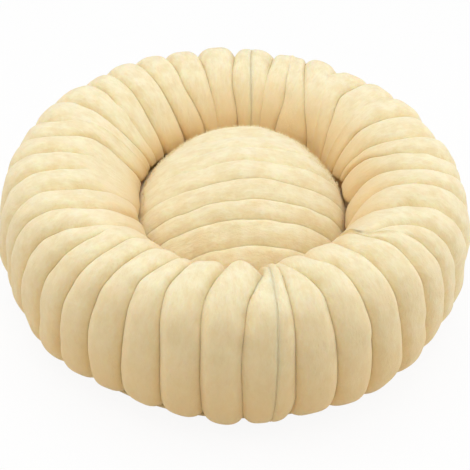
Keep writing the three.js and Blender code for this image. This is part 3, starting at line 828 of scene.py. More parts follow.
plush = plush_finish("plush_pile", 0.5)
thin_pile = plush_finish("thin_pile", 0.0)
base_weave = cloth_finish("base_weave", colour(214, 196, 158), colour(239, 225, 191), 0.9 * MM)
seam_tape = tape_finish("seam_tape", colour(224, 204, 158), colour(240, 224, 182))
loose_fibre = fibre_finish()
grip_rubber = plain_finish(
    "grip_rubber", colour(204, 199, 186), colour(222, 217, 206), 2 * MM, 0.1 * MM, Roughness=0.62
)
zip_tape_cloth = tape_finish("zip_tape_cloth", colour(226, 210, 172), colour(243, 230, 198))
zip_nylon = plain_finish(
    "zip_nylon", colour(226, 211, 176), colour(238, 225, 194), 1 * MM, 0.05 * MM, Roughness=0.38
)
zip_nickel = plain_finish(
    "zip_nickel", colour(172, 169, 160), colour(196, 193, 185), 0.6 * MM, 0.03 * MM,
    Roughness=0.34, Metallic=1.0,
)


# Bolster covers


def groove_lines(lines, turns):
    """Angle of each groove at each turn, eased over a few rows; the seams at both ends keep their line."""
    angles = np.stack([line_at(line, turns) for line in lines], -1)
    margin = len(EASING) // 2
    padded = np.pad(angles, ((margin, margin), (0, 0)), "edge")
    eased = sum(weight * padded[i : i + len(turns)] for i, weight in enumerate(EASING)) / sum(EASING)
    return np.concatenate([angles[:, :1], eased[:, 1:-1], angles[:, -1:]], 1)


def groove_shares(count, fades, turns):
    """Depth of each groove at each turn, as a share of its full depth."""
    shares = np.ones((len(turns), count))
    for number, fade in fades.items():
        shares[:, number] = through(fade, turns)
    return shares


def rib_stations(columns):
    """Places across a rib, from -1 in one groove to just before 1 in the next, closest in the grooves."""
    return np.sin(np.linspace(-math.pi / 2, math.pi / 2, columns + 1)[:-1])


def rib_profile(across):
    """Depth across a rib, from 0 on its crest to 1 in the grooves: a broad back with steep sides."""
    return 1 - (1 - np.minimum(np.abs(across) ** RIB_CREST_POWER, 1)) ** RIB_CLEFT_POWER


def pile_warm_shade(angle, turn):
    """Share of painted warm shade on the pile: none on top of the ring, most low on its walls, less at its
    sides and high on the rear left inner wall.
    """
    outside = humps(angle, PALE_SIDES, 1)
    inside = 1 - humps(angle, [PALE_WALL]) * (1 - rising(turn, *PALE_WALL_TURNS))
    return through(WARM_SHADE_LEVELS, turn) * np.where(turn < 90, outside, inside)


def front_dent(angle, turn):
    """How far the rib with the front seam is drawn in over the ring's crest."""
    return humps(angle, [FRONT_DENT]) * band(turn, *FRONT_DENT_BAND)


def foot_tuck(angle, turn):
    """How far the outer wall is drawn in towards its foot: most at the front left, a little at the right."""
    return np.minimum(humps(angle, FOOT_TUCKS), FOOT_TUCK_MOST) * (1 - rising(turn, *FOOT_TUCK_TURNS))


def rear_softness(angle, turn):
    """Share of their depth that the ribs keep: less on the inner wall at the back."""
    return 1 - humps(angle, [REAR_SOFTNESS]) * band(turn, *REAR_SOFT_BAND)


def groove_depths(edges, widths, shares, turns):
    """Depth of each groove: a share of its ribs' width, less at the foot, on walls and where it dies out."""
    depths = np.minimum(RIB_DEPTH_SHARE * widths, RIB_DEPTH_MOST)
    beside = np.concatenate([depths[:, :1], (depths[:, 1:] + depths[:, :-1]) / 2, depths[:, -1:]], 1)
    height = section(turns)[1]
    kept = FOOT_DEPTH_SHARE + (1 - FOOT_DEPTH_SHARE) * rising(height, FOOT_LEVEL, FOOT_DEPTH_LEVEL)
    kept = kept * (WALL_DEPTH_SHARE + (1 - WALL_DEPTH_SHARE) * rising(turns, *WALL_DEPTH_TURNS))
    return beside * shares * kept[:, None] * rear_softness(edges, turns[:, None])


def of_nearer(grooves, place):
    """A value for each place across each rib: that of the groove it is nearer to."""
    return np.where(place < 0, grooves[:, :-1, None], grooves[:, 1:, None])


def in_rows(ribs, last):
    """Values of all ribs side by side in the rows of the cover, with a last column of their own."""
    return np.concatenate([ribs.reshape(len(ribs), -1), last + np.zeros((len(ribs), 1))], 1)


def along_ribs(angle, lengths):
    """UV places on the bolster, in metres: round the bed and along the section."""
    return np.stack([np.radians(angle) * RING_RADIUS, lengths[:, None] + 0 * angle], -1)


def cover_panel(name, node, lines, fades, seed):
    """Ribbed half cover: ribs between groove lines, deeper where they are wider, over a lining."""
    turns, lengths = cover_turns(COVER_ROWS)
    radius = section(turns)[0]
    edges = groove_lines(lines, turns)
    phases = np.random.default_rng(seed).uniform(0, 2 * math.pi, edges.shape[1])
    wobble = WOBBLE_DEGREES * np.sin(lengths[:, None] / WOBBLE_LENGTH + phases)
    wobble[:, [0, -1]] = 0
    edges = edges + wobble
    side = np.sign(edges[0, -1] - edges[0, 0])
    edges[:, 0] += side * np.degrees(SEAM_OUTER_GAP / radius)
    edges[:, -1] -= side * np.degrees(SEAM_OUTER_GAP / radius)
    widths = np.abs(np.diff(edges, axis=1)) * (math.pi / 180) * radius[:, None]
    widths[:, [0, -1]] *= 2
    shares = groove_shares(edges.shape[1], fades, turns)
    sinks = groove_depths(edges, widths, shares, turns)
    across = rib_stations(RIB_COLUMNS)
    place = np.tile(across, (edges.shape[1] - 1, 1))
    place[0] = (1 + across) / 2
    place[-1] = (across - 1) / 2
    profile = rib_profile(place)
    swell = np.clip(RIB_SWELL_SHARE * (widths - RIB_EVEN_WIDTH), *RIB_SWELL_LIMITS)[:, :, None]
    swell[:, [0, -1]] = SEAM_SWELL
    away = (1 - np.abs(place)) * widths[:, :, None] / 2
    groove = of_nearer(shares, place) * rising(widths, *NARROW_RIB_WIDTHS)[:, :, None]
    groove = in_rows(groove * np.clip(1 - away / GROOVE_REACH, 0, 1), 0)
    angle = edges[:, :-1, None] + np.diff(edges, axis=1)[:, :, None] * (0.5 + 0.5 * across)
    angle = in_rows(angle, edges[:, -1:])
    turn = turns[:, None] + 0 * angle
    from_seam = np.minimum(np.abs(angle - edges[:, :1]), np.abs(angle - edges[:, -1:]))
    from_seam = np.radians(from_seam) * radius[:, None]
    sink = in_rows(of_nearer(sinks, place) * profile - swell * (1 - profile), -SEAM_SWELL)
    uneven = lumps(ring_surface(angle, turn), COVER_LUMPS, seed + 1)
    sink = sink - uneven * rising(from_seam, 0, SEAM_CALM_REACH)
    sink = sink + SEAM_DIP * np.exp(-((from_seam / SEAM_DIP_REACH) ** 2)) + front_dent(angle, turn)
    outer = ring_surface(angle, turn, sink=sink + foot_tuck(angle, turn))
    row_step, column_step = COVER_STEPS
    lining = angle[::row_step, ::column_step].copy()
    spread = side * np.degrees((SEAM_INNER_GAP - SEAM_OUTER_GAP) / radius[::row_step])
    lining[:, 0] += spread
    lining[:, -1] -= spread
    inner = ring_surface(lining, turn[::row_step, ::column_step], COVER_THICKNESS)
    uv = along_ribs(angle, lengths)
    # The second value is painted warm shade, low on the walls and none on top
    values = {"groove": groove, "warm_shade": pile_warm_shade(angle, turn)}
    piece = shell_piece(name, node, outer, inner, COVER_STEPS, plush, "bed", uv, values)
    return outer


rear_seam_from_left = [(turn, angle - 360) for turn, angle in REAR_SEAM]
left_lines = [FRONT_SEAM, *LEFT_GROOVES, rear_seam_from_left]
right_lines = [FRONT_SEAM, *RIGHT_GROOVES, REAR_SEAM]
left_cover = cover_panel("left_ribbed_cover", "bolster_cover_left", left_lines, LEFT_FADES, 11)
right_cover = cover_panel("right_ribbed_cover", "bolster_cover_right", right_lines, RIGHT_FADES, 23)


def closing_seam(name, node, line, seed):
    """The turned-in edges of both covers: a narrow strip with a ragged round back, level with them."""
    turns, lengths = cover_turns(SEAM_ROWS)
    radius, height = section(turns)
    across = np.linspace(-1, 1, SEAM_COLUMNS)
    margin = FRINGE_SPREAD - 1
    heights = np.random.default_rng(seed).normal(size=SEAM_ROWS + 2 * margin)
    ragged = np.convolve(heights, np.ones(FRINGE_SPREAD) / FRINGE_SPREAD, "same")[margin:-margin]
    fringe = FRINGE_DEPTH * np.clip(ragged, -1, 1) * rising(height, FOOT_LEVEL, FRINGE_LEVEL)
    middle = line_at(line, turns)[:, None]
    degrees_per_metre = np.degrees(1 / radius)[:, None]
    angle = middle + SEAM_EDGE_HALF * degrees_per_metre * across
    turn = turns[:, None] + 0 * angle
    level = SEAM_DIP - SEAM_SWELL - SEAM_STAND + front_dent(angle, turn) + foot_tuck(angle, turn)
    level = level + SEAM_ROUNDING * np.abs(across) ** SEAM_ROUNDING_POWER
    outer = ring_surface(angle, turn, sink=level - fringe[:, None])
    row_step, column_step = SEAM_STEPS
    root = (middle + SEAM_ROOT_HALF * degrees_per_metre * across)[::row_step, ::column_step]
    inner = ring_surface(root, turn[::row_step, ::column_step], COVER_THICKNESS)
    uv = along_ribs(angle, lengths)
    # Painted warm shade, as on the covers beside the seam
    values = {"warm_shade": pile_warm_shade(angle, turn)}
    shell_piece(name, node, outer, inner, SEAM_STEPS, thin_pile, "bed", uv, values)


closing_seam("front_furry_seam", "front_closing_seam", FRONT_SEAM, 41)
closing_seam("rear_furry_seam", "rear_closing_seam", REAR_SEAM, 42)


def bolster_fibre():
    """Lumpy ring of loose fibre: the space under the covers, less a touching gap."""
    turns = cover_turns(RING_FIBRE_ROWS)[0][:, None]
    angle = np.arange(RING_FIBRE_COLUMNS) * 360 / RING_FIBRE_COLUMNS + 0 * turns
    turn = turns + 0 * angle
    uneven = lumps(ring_surface(angle, turn, COVER_THICKNESS), RING_FIBRE_LUMPS, 51, 1)
    inset = np.clip(RING_FIBRE_DEPTH * uneven, 0, RING_FIBRE_DEEPEST)
    outer = ring_surface(angle, turn, COVER_THICKNESS + TOUCH_GAP + inset)
    rows, columns = outer.shape[:2]
    blocks = [grid_faces(rows, columns, ring_columns=True), closing_faces(rows, columns)]
    piece = make_piece(
        "bolster_fibre_ring", outer, blocks, loose_fibre, "bed", "bolster_filling",
        flat_blocks=(1,),
    )


bolster_fibre()


# Base and well


def turned_grid(profile, segments):
    """Points of a profile, radii and heights, that is turned round the axis."""
    radius, height = np.array(profile).T[:, :, None]
    around = np.arange(segments) * 2 * math.pi / segments
    return np.stack([radius * np.cos(around), radius * np.sin(around), height + 0 * around], -1)


def turned_faces(grid):
    """Faces of a turned grid: round the axis, then a disc over each pole, or a band where it has none.

    The discs are less than 1 mm across, and they face inwards.
    """
    rows, columns = grid.shape[:2]
    around = grid_faces(rows, columns, ring_columns=True)
    first = np.arange(columns)[None]
    if np.hypot(*grid[0, 0, :2]) < 2 * POLE_RADIUS:
        return [around, first[:, ::-1], (rows - 1) * columns + first]
    return [around, closing_faces(rows, columns)]


def rounded_edge(inner, outer, bottom, top):
    """Profile of a flat ring or disc whose outer edge is half round."""
    half = (top - bottom) / 2
    turns = np.linspace(-math.pi / 2, math.pi / 2, EDGE_STEPS + 1)
    edge = [(outer - half + half * math.cos(t), bottom + half + half * math.sin(t)) for t in turns]
    flat = np.linspace(inner, outer - half, FLAT_RINGS)[:-1]
    return [(r, bottom) for r in flat] + edge + [(r, top) for r in flat[::-1]]


def disc_cloth(name, node, radius, levels):
    """A flat round cloth with a soft edge, at its cut size."""
    grid = turned_grid(rounded_edge(POLE_RADIUS, radius, *levels), DISC_SEGMENTS)
    piece = make_piece(name, grid, turned_faces(grid), base_weave, "bed", node)


def gathered_tape(name, node, radii, levels, gathers):
    """A flat ring of tape with small even gathers round it, that lower its top."""
    grid = turned_grid(rounded_edge(*radii, *levels), TAPE_SEGMENTS)
    depth, count = gathers
    angle = np.arctan2(grid[..., 1], grid[..., 0])
    is_top = grid[..., 2] > grid[..., 2].mean()
    grid[..., 2] -= depth * is_top * (0.5 - 0.5 * np.cos(count * angle))
    make_piece(name, grid, turned_faces(grid), seam_tape, "bed", node)


def grip_dots(start):
    """Points and faces of soft round dots, in rows that are set half a step to each other."""
    reach = int(BASE_RADIUS / DOT_PITCH) + 1
    column, row = np.meshgrid(np.arange(-reach, reach + 1), np.arange(-reach, reach + 1))
    x = (column + 0.5 * (row % 2)) * DOT_PITCH
    y = row * DOT_PITCH * math.sqrt(0.75)
    keep = np.hypot(x, y) < BASE_RADIUS - 2 * DOT_RADIUS
    middles = np.stack([x[keep], y[keep], 0 * x[keep]], -1)
    dot = turned_grid([(share * DOT_RADIUS, height) for share, height in DOT_LEVELS], DOT_CORNERS)
    rows = len(DOT_LEVELS)
    starts = start + rows * DOT_CORNERS * np.arange(len(middles))[:, None, None]
    sides = (starts + grid_faces(rows, DOT_CORNERS, ring_columns=True)[:, ::-1]).reshape(-1, 4)
    first = np.arange(DOT_CORNERS)
    ends = np.stack([first[::-1], (rows - 1) * DOT_CORNERS + first])
    return (middles[:, None, None, :] + dot).reshape(-1, 3), [sides, (starts + ends).reshape(-1, DOT_CORNERS)]


def grip_sheet():
    """A thin sheet with soft round dots under it."""
    grid = turned_grid(rounded_edge(POLE_RADIUS, BASE_RADIUS, *GRIP_LEVELS), DISC_SEGMENTS)
    blocks = turned_faces(grid)
    sheet = grid.reshape(-1, 3)
    if volume_of(sheet, blocks) < 0:
        blocks = [faces[:, ::-1] for faces in blocks]
    dots, dot_blocks = grip_dots(len(sheet))
    points = np.concatenate([sheet, dots])
    piece = make_piece(
        "grip_dot_sheet", points, blocks + dot_blocks, grip_rubber, "bed", "grip_sheet"
    )


grip_sheet()
disc_cloth("bed_base_cloth", "base_cloth", BASE_RADIUS, BASE_CLOTH_LEVELS)
gathered_tape("base_binding_tape", "base_edge_binding", BINDING_RADII, BINDING_LEVELS, BINDING_GATHERS)
disc_cloth("well_floor", "well_floor_cloth", WELL_RADIUS, WELL_LEVELS)
gathered_tape("well_tape", "well_edge_tape", WELL_TAPE_RADII, WELL_TAPE_LEVELS, WELL_TAPE_GATHERS)


# Cushion


def turned(x, y, turn=CUSHION_TURN):
    """A place in plan turned about the axis, as the cushion lies turned in the well."""
    cos, sin = math.cos(turn), math.sin(turn)
    return cos * x - sin * y, sin * x + cos * y


def wall_undersides(covers):
    """Lowest height of the inner wall above the brim, for each degree round the bed and up to each radius."""
    between = [
        cover[:-1] + share * (cover[1:] - cover[:-1]) for cover in covers for share in (0, 1 / 3, 2 / 3)
    ]
    points = np.concatenate([grid.reshape(-1, 3) for grid in between])
    radius = np.hypot(points[:, 0], points[:, 1])
    inside = (radius < RING_RADIUS) & (points[:, 2] > BRIM_LEVEL)
    points, radius = points[inside], radius[inside]
    degree = np.round(np.degrees(np.arctan2(points[:, 1], points[:, 0]))).astype(int) % 360
    step = (radius / WALL_STEP).astype(int)
    lowest = np.full((360, int(RING_RADIUS / WALL_STEP) + 2), BED_HEIGHT)
    np.minimum.at(lowest, (degree, step), points[:, 2])
    lowest = np.minimum.accumulate(lowest, 1)
    return np.minimum(lowest, np.minimum(np.roll(lowest, 1, 0), np.roll(lowest, -1, 0)))


undersides = wall_undersides([left_cover, right_cover])
wall_reach = (undersides < BED_HEIGHT - WALL_START_DROP).argmax(1) * WALL_STEP


def below_wall(x, y):
    """Height of the wall over a place in plan, read off its undersides, or the bed's height if clear."""
    degree = np.degrees(np.arctan2(y, x)) % 360
    out = np.minimum(np.hypot(x, y) / WALL_STEP, undersides.shape[1] - 1.001)
    first, near = np.floor(degree).astype(int) % 360, np.floor(out).astype(int)
    beside, far = (first + 1) % 360, near + 1
    along, outwards = degree % 1, out - near
    inner = (1 - along) * undersides[first, near] + along * undersides[beside, near]
    outer = (1 - along) * undersides[first, far] + along * undersides[beside, far]
    return (1 - outwards) * inner + outwards * outer


def room(x, y):
    """How far a place in plan lies inside the wall's innermost line."""
    degree = np.degrees(np.arctan2(y, x))
    return np.interp(degree, np.arange(360), wall_reach, period=360) - np.hypot(x, y)


def crown(x, y):
    """Height of the cushion's crown over a place in plan: the dome, pressed down to a brim under the wall."""
    full = dome(x, y)
    return np.maximum(np.minimum(full, below_wall(x, y) - WALL_GAP), np.minimum(full, BRIM_LEVEL))


def lining_of(height):
    """Height of the cover's lining under the crown: flat under the brim, and well clear of the ribs."""
    return TOP_FOOT_LEVEL + LINING_SHARE * np.maximum(height - TOP_FOOT_LEVEL - LINING_START, 0)


def top_cover():
    """Domed cover with sewn channels that run along its ribs, over a smooth coarser lining."""
    end = CUSHION_RADIUS * DOME_END_SHARE
    edges = np.array([-end, *CHANNELS, end])
    across = rib_stations(DOME_RIB_COLUMNS)
    y = (edges[:-1, None] + np.diff(edges)[:, None] * (0.5 + 0.5 * across)).ravel()
    y = np.append(y, end)
    away = np.abs(y[:, None] - CHANNELS)
    share = np.array(CHANNEL_SHARES)[away.argmin(1)]
    groove = share * np.clip(1 - away.min(1) / GROOVE_REACH, 0, 1)
    profile = np.append(np.tile(rib_profile(across), len(edges) - 1), 1.0) * share
    profile[(y < edges[:2].mean()) | (y > edges[-2:].mean())] = 0
    along = np.sin(np.linspace(-math.pi / 2, math.pi / 2, DOME_ROWS))
    x = along[:, None] * np.sqrt(CUSHION_RADIUS**2 - y**2)
    y = y + 0 * x
    plan_x, plan_y = turned(x, y)
    height = crown(plan_x, plan_y)
    hem = np.clip((height - TOP_FOOT_LEVEL) / (2 * CHANNEL_DEPTH), 0, 1)
    smooth = np.stack([plan_x, plan_y, height], -1)
    fading = 1 - CHANNEL_FADE * rising(y, *FADE_FROM_FRONT) * (1 - rising(x, *FADE_FROM_LEFT))
    outer = smooth.copy()
    outer[..., 2] += hem * (lumps(smooth, CROWN_LUMPS, 31) - CHANNEL_DEPTH * profile * fading)
    outer[:, [0, -1], 2] = TOP_FOOT_LEVEL
    row_step, column_step = DOME_STEPS
    inner = smooth[::row_step, ::column_step].copy()
    inner[..., :2] *= 1 - TOP_COVER_THICKNESS / CUSHION_RADIUS
    inner[..., 2] = lining_of(inner[..., 2])
    uv = np.stack([y, x], -1)
    inside = room(plan_x, plan_y)
    # Painted warm shade on the crown along and under the wall, fading over a short reach inwards
    warm_shade = SHADED_EDGE_SHARE * (1 - rising(inside, 0, SHADED_EDGE))
    values = {"groove": groove * fading * hem, "warm_shade": warm_shade}
    piece = shell_piece(
        "domed_top_cover", "cushion_top_cover", outer, inner, DOME_STEPS, plush, "cushion",
        uv, values,
    )
    return outer, warm_shade, inside


seat, seat_warm_shade, seat_room = top_cover()


def in_cushion(grid):
    """A grid of the cushion's own frame, turned as the cushion lies."""
    x, y = turned(grid[..., 0], grid[..., 1])
    return np.stack([x, y, grid[..., 2]], -1)


def edge_piping():
    """Cord in a strip of cloth round the cushion's edge: a ring with a slight twist."""
    around = np.arange(PIPING_SEGMENTS) * 2 * math.pi / PIPING_SEGMENTS
    side = np.arange(PIPING_SIDES)[:, None] * 2 * math.pi / PIPING_SIDES
    twist = PIPING_TWIST_SHARE * np.cos(PIPING_STRANDS * side - PIPING_TWISTS * around)
    radius = PIPING_RADIUS * (1 - PIPING_TWIST_SHARE + twist)
    out = CUSHION_RADIUS - PIPING_RADIUS + radius * np.cos(side)
    height = CUSHION_SEAM_LEVEL + radius * np.sin(side)
    grid = np.stack([out * np.cos(around), out * np.sin(around), height], -1)
    blocks = [grid_faces(PIPING_SIDES, PIPING_SEGMENTS, ring_columns=True, ring_rows=True)]
    make_piece("edge_piping_cord", grid, blocks, seam_tape, "cushion", "cushion_edge_piping")


def flank(rise, rim, inset):
    """Radius and height of the underside's flank: a quarter of an ellipse, from the flat up to the rim."""
    radius = UNDERSIDE_FLAT_RADIUS + (rim - UNDERSIDE_FLAT_RADIUS) * np.sin(rise)
    return radius, UNDERSIDE_RIM_LEVEL - (UNDERSIDE_RIM_LEVEL - CUSHION_BOTTOM - inset) * np.cos(rise)


def underside_panel(name, node, side):
    """Half of the underside: rows run from the zip's edge out to the rim, bowed like it at the end."""
    direction = np.linspace(PANEL_END_TURN, math.pi - PANEL_END_TURN, UNDERSIDE_COLUMNS)
    share = np.linspace(0, 1, UNDERSIDE_ROWS)[:, None]
    on_flat = share <= UNDERSIDE_FLAT_SHARE
    flat_share = np.clip(share / UNDERSIDE_FLAT_SHARE, 0, 1)
    rise = np.clip((share - UNDERSIDE_FLAT_SHARE) / (1 - UNDERSIDE_FLAT_SHARE), 0, 1) * math.pi / 2
    near_x = UNDERSIDE_FLAT_RADIUS * np.cos(direction)
    far_y = UNDERSIDE_FLAT_RADIUS * np.sin(direction)
    slot = ZIP_SLOT_HALF * rising(ZIP_SLOT_REACH - np.abs(near_x), -ZIP_SLOT_EASE, ZIP_SLOT_EASE) + PANEL_EDGE
    flat_y = slot + (far_y - slot) * flat_share

    def surface(inset):
        radius, height = flank(rise, CUSHION_RADIUS - inset, inset)
        x = np.where(on_flat, near_x, radius * np.cos(direction))
        y = np.where(on_flat, flat_y, radius * np.sin(direction))
        return np.stack([x, side * y, np.where(on_flat, CUSHION_BOTTOM + inset, height) + 0 * x], -1)

    outer, inner = in_cushion(surface(0.0)), in_cushion(surface(UNDERSIDE_THICKNESS))
    piece = shell_piece(name, node, outer, inner, (1, 1), base_weave, "cushion")


def cushion_fibre():
    """Lumpy lens of loose fibre that fills the cushion, hollowed along the zip."""
    flat_rings, flank_rings, top_rings = CUSHION_FIBRE_RINGS
    inset = UNDERSIDE_THICKNESS + TOUCH_GAP
    rim = CUSHION_RADIUS - FIBRE_RIM_INSET
    inside = CUSHION_RADIUS - TOP_COVER_THICKNESS - FIBRE_TOP_INSET
    foot = TOP_FOOT_LEVEL - TOUCH_GAP
    flat = [
        (r, CUSHION_BOTTOM + inset)
        for r in np.linspace(POLE_RADIUS, UNDERSIDE_FLAT_RADIUS - FIBRE_FLAT_INSET, flat_rings)
    ]
    side = list(zip(*flank(np.linspace(FIBRE_FLANK_START, math.pi / 2, flank_rings), rim, inset)))
    top = [(inside * math.cos(t), foot) for t in np.linspace(0, math.pi / 2, top_rings)[:-1]]
    profile = flat + side + [(rim, foot)] + top + [(POLE_RADIUS, TOP_FOOT_LEVEL)]
    grid = turned_grid(profile, CUSHION_FIBRE_SEGMENTS)
    x, y = grid[..., 0], grid[..., 1]
    wider = FIBRE_SPREAD / (1 - TOP_COVER_THICKNESS / CUSHION_RADIUS)
    lining = lining_of(crown(x * wider, y * wider))
    uneven = CUSHION_FIBRE_DEPTH * lumps(grid, CUSHION_FIBRE_LUMPS, 61, 1)
    top_start = flat_rings + flank_rings + 1
    grid[top_start:, :, 2] = np.maximum(lining - TOUCH_GAP - uneven, foot)[top_start:]
    half_length, half_width, hollow_top = ZIP_HOLLOW
    own_x, own_y = turned(x, y, -CUSHION_TURN)
    hollow = (np.abs(own_x) < half_length) & (np.abs(own_y) < half_width)
    grid[..., 2] = np.where(hollow, np.maximum(grid[..., 2], hollow_top), grid[..., 2])
    piece = make_piece(
        "cushion_fibre_fill", grid, turned_faces(grid), loose_fibre, "cushion",
        "cushion_filling",
    )


edge_piping()
underside_panel("underside_front_cloth", "cushion_underside_front", -1)
underside_panel("underside_rear_cloth", "cushion_underside_rear", 1)
cushion_fibre()


# Pile that stands up along edges


def scatter(surface, warm_shade, weight, count, random):
    """Random places on a grid's surface, more where the weight is higher, with the surface's facing and its
    painted warm shade at each.
    """
    down = surface[1:, :-1] - surface[:-1, :-1]
    beside = surface[:-1, 1:] - surface[:-1, :-1]
    facing = np.cross(down, beside)
    area = np.linalg.norm(facing, axis=-1)
    chance = (area * weight[:-1, :-1]).ravel()
    cell = random.choice(chance.size, count, p=chance / chance.sum())
    share = random.random((2, count, 1))
    places = surface[:-1, :-1].reshape(-1, 3)[cell]
    places = places + share[0] * down.reshape(-1, 3)[cell] + share[1] * beside.reshape(-1, 3)[cell]
    facing = facing * np.sign(facing[..., 2].sum()) / np.maximum(area, SMALLEST_AREA)[..., None]
    return places, facing.reshape(-1, 3)[cell], warm_shade[:-1, :-1].ravel()[cell]


def unit(vectors):
    """Vectors shortened or lengthened to 1."""
    return vectors / np.linalg.norm(vectors, axis=-1, keepdims=True)


def pile_tufts(name, body, places, leans, lengths, warm_shade, random):
    """Short tufts of pile: closed three-sided spindles with a root, a belly and a tip, each bent a little."""
    count = len(places)
    side = unit(np.cross(leans, random.normal(size=(count, 3))))
    other = np.cross(leans, side)
    corner = np.arange(TUFT_CORNERS)[:, None] * 2 * math.pi / TUFT_CORNERS
    ring = np.cos(corner) * side[:, None, :] + np.sin(corner) * other[:, None, :]
    along = lengths[:, None] * leans
    bend = TUFT_BEND_SHARE * lengths[:, None] * side
    root = places[:, None, :] + TUFT_ROOT_SHARE * TUFT_HALF_WIDTH * ring - TUFT_SUNK_SHARE * along[:, None, :]
    belly = (places + TUFT_BELLY_SHARE * along + bend)[:, None, :] + TUFT_HALF_WIDTH * ring
    tip = (places + along + 3 * bend)[:, None, :]
    points = np.concatenate([root, belly, tip], 1)
    size = points.shape[1]
    start = size * np.arange(count)[:, None, None]
    first = np.arange(TUFT_CORNERS)
    beside = (first + 1) % TUFT_CORNERS
    belly_first, belly_beside = TUFT_CORNERS + first, TUFT_CORNERS + beside
    sides = (start + np.stack([first, beside, belly_beside, belly_first], -1)).reshape(-1, 4)
    tips = (start + np.stack([belly_first, belly_beside, size - 1 + 0 * first], -1)).reshape(-1, 3)
    caps = start[:, :, 0] + first[::-1]
    # Each tuft takes the painted warm shade of the surface at its root
    values = {"warm_shade": np.repeat(warm_shade, size)}
    make_piece(
        name, points, [sides, tips, caps], thin_pile, body, None,
        values=values, flat_blocks=(0, 1, 2),
    )


def clear_of_wall(places, leans, lengths):
    """Whether a tuft is long enough, and the wall well above its tip, also a little farther out."""
    x, y, z = (places + TIP_SHARE * lengths[:, None] * leans).T
    spare = TIP_ROOM_SHARE * lengths
    farther = 1 + (spare + TIP_ROOM_OUT) / np.hypot(x, y)
    return (below_wall(farther * x, farther * y) - z > spare + TIP_ROOM_UP) & (lengths > SHORTEST_TUFT)


def seat_pile():
    """Pile along the cushion's edge, where it stands up against the wall, in a wider band at the back."""
    random = np.random.default_rng(71)
    out = np.hypot(seat[..., 0], seat[..., 1])
    rear = rising(seat[..., 1] / out, *REAR_EDGE_SHARES) * band(out, *REAR_EDGE_BAND)
    contact = band(seat_room, *CONTACT_BAND)
    contact = contact * (seat[..., 1] > CONTACT_FRONT) * (seat[..., 2] > BRIM_LEVEL + CONTACT_RISE)
    weight = rear * (seat_room > REAR_EDGE_ROOM) + CONTACT_WEIGHT * contact
    # The tufts keep the seat's painted warm shade where they stand
    places, facing, warm_shade = scatter(seat, seat_warm_shade, weight, SEAT_TUFTS, random)
    leans = unit(UPRIGHT_LEAN + FACING_LEAN * facing + STRAY_LEAN * random.normal(size=places.shape))
    x, y, z = places.T
    longer = 1 + LONGER_SHARE * (1 - rising(room(x, y), *LONGER_ROOM))
    lengths = random.uniform(*SEAT_TUFT_LENGTHS_IN_MM, SEAT_TUFTS) * longer * MM
    lengths = np.minimum(lengths, UNDER_WALL_SHARE * (below_wall(x, y) - z))
    clear = clear_of_wall(places, leans, lengths)
    kept = [values[clear] for values in (places, leans, lengths, warm_shade)]
    pile_tufts("seat_edge_pile", "cushion", *kept, random)


seat_pile()


# Zip: the frame's own parts, with their finishes

ZIP_FINISHES = [
    (zip_tape_cloth, ("zip_tape_front", "zip_tape_rear")),
    (zip_nylon, ("zip_teeth_front", "zip_teeth_rear")),
    (zip_nickel, ("zip_top_stop", "zip_bottom_stop", "zip_slider")),
]
for zip_finish, zip_nodes in ZIP_FINISHES:
    for zip_node in zip_nodes:
        zip_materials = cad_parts[zip_node].data.materials
        zip_materials.clear()
        zip_materials.append(zip_finish)

# Camera, lights and floor


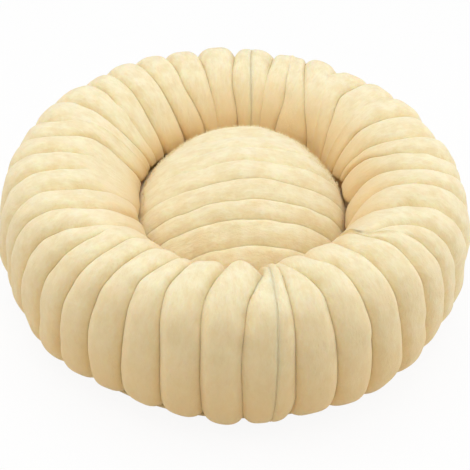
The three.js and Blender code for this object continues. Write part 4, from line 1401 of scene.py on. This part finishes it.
def add_camera():
    """The camera on its line of sight, with its own right and up turned by the roll."""
    data = bpy.data.cameras.new("photo_camera")
    data.lens = data.sensor_width * FOCAL_LENGTH_IN_PIXELS / PHOTO_SIZE
    camera = bpy.data.objects.new("photo_camera", data)
    back = Vector((0, -math.cos(CAMERA_ELEVATION), math.sin(CAMERA_ELEVATION)))
    level_right = Vector((1, 0, 0))
    level_up = back.cross(level_right)
    right = math.cos(CAMERA_ROLL) * level_right + math.sin(CAMERA_ROLL) * level_up
    up = math.cos(CAMERA_ROLL) * level_up - math.sin(CAMERA_ROLL) * level_right
    turn = Matrix((right, up, back)).transposed()
    camera.matrix_world = Matrix.Translation(CAMERA_TARGET + CAMERA_DISTANCE * back) @ turn.to_4x4()
    bpy.context.scene.collection.objects.link(camera)
    bpy.context.scene.camera = camera


def add_lamp(name, place, size, power):
    """A square soft lamp that faces the bed."""
    data = bpy.data.lights.new(name, "AREA")
    data.size = size
    data.energy = power
    data.color = LAMP_COLOUR
    lamp = bpy.data.objects.new(name, data)
    lamp.location = place
    lamp.rotation_euler = Vector(place).to_track_quat("Z", "Y").to_euler()
    bpy.context.scene.collection.objects.link(lamp)


def add_floor():
    """A pale floor that keeps the shadow, and looks whiter to the camera than it is."""
    finish = Finish("white_floor", Roughness=0.9)
    direct = finish.seen_directly()
    finish.paint(finish.blend(direct, FLOOR_COLOUR, FLOOR_SEEN_COLOUR))
    glow = finish.add("ShaderNodeEmission", {}, {"Color": WHITE, "Strength": 1.0})
    surface = Value(finish, finish.shader.outputs[0])
    mixed = finish.add("ShaderNodeMixShader", {}, {0: direct * FLOOR_GLOW_SHARE, 1: surface, 2: glow})
    finish.feed(mixed, "Material Output", "Surface")
    half = FLOOR_SIZE / 2
    corners = [(-half, -half, 0), (half, -half, 0), (half, half, 0), (-half, half, 0)]
    mesh = bpy.data.meshes.new("floor")
    mesh.from_pydata(corners, [], [(0, 1, 2, 3)])
    mesh.materials.append(finish.material)
    floor = bpy.data.objects.new("floor", mesh)
    bpy.context.scene.collection.objects.link(floor)


def set_world():
    """Even light all round, and plain white behind the bed."""
    world = bpy.data.worlds.new("studio")
    bpy.context.scene.world = world
    world.use_nodes = True
    nodes = Nodes(world.node_tree)
    nodes.feed(WORLD_LIGHT + (1 - WORLD_LIGHT) * nodes.seen_directly(), "Background", "Strength")
    nodes.tree.nodes["Background"].inputs["Color"].default_value = WHITE


add_camera()
for lamp_name, (lamp_place, lamp_size, lamp_power) in LAMPS.items():
    add_lamp(lamp_name, lamp_place, lamp_size, lamp_power)
add_floor()
set_world()
bpy.context.scene.view_settings.view_transform = "Standard"
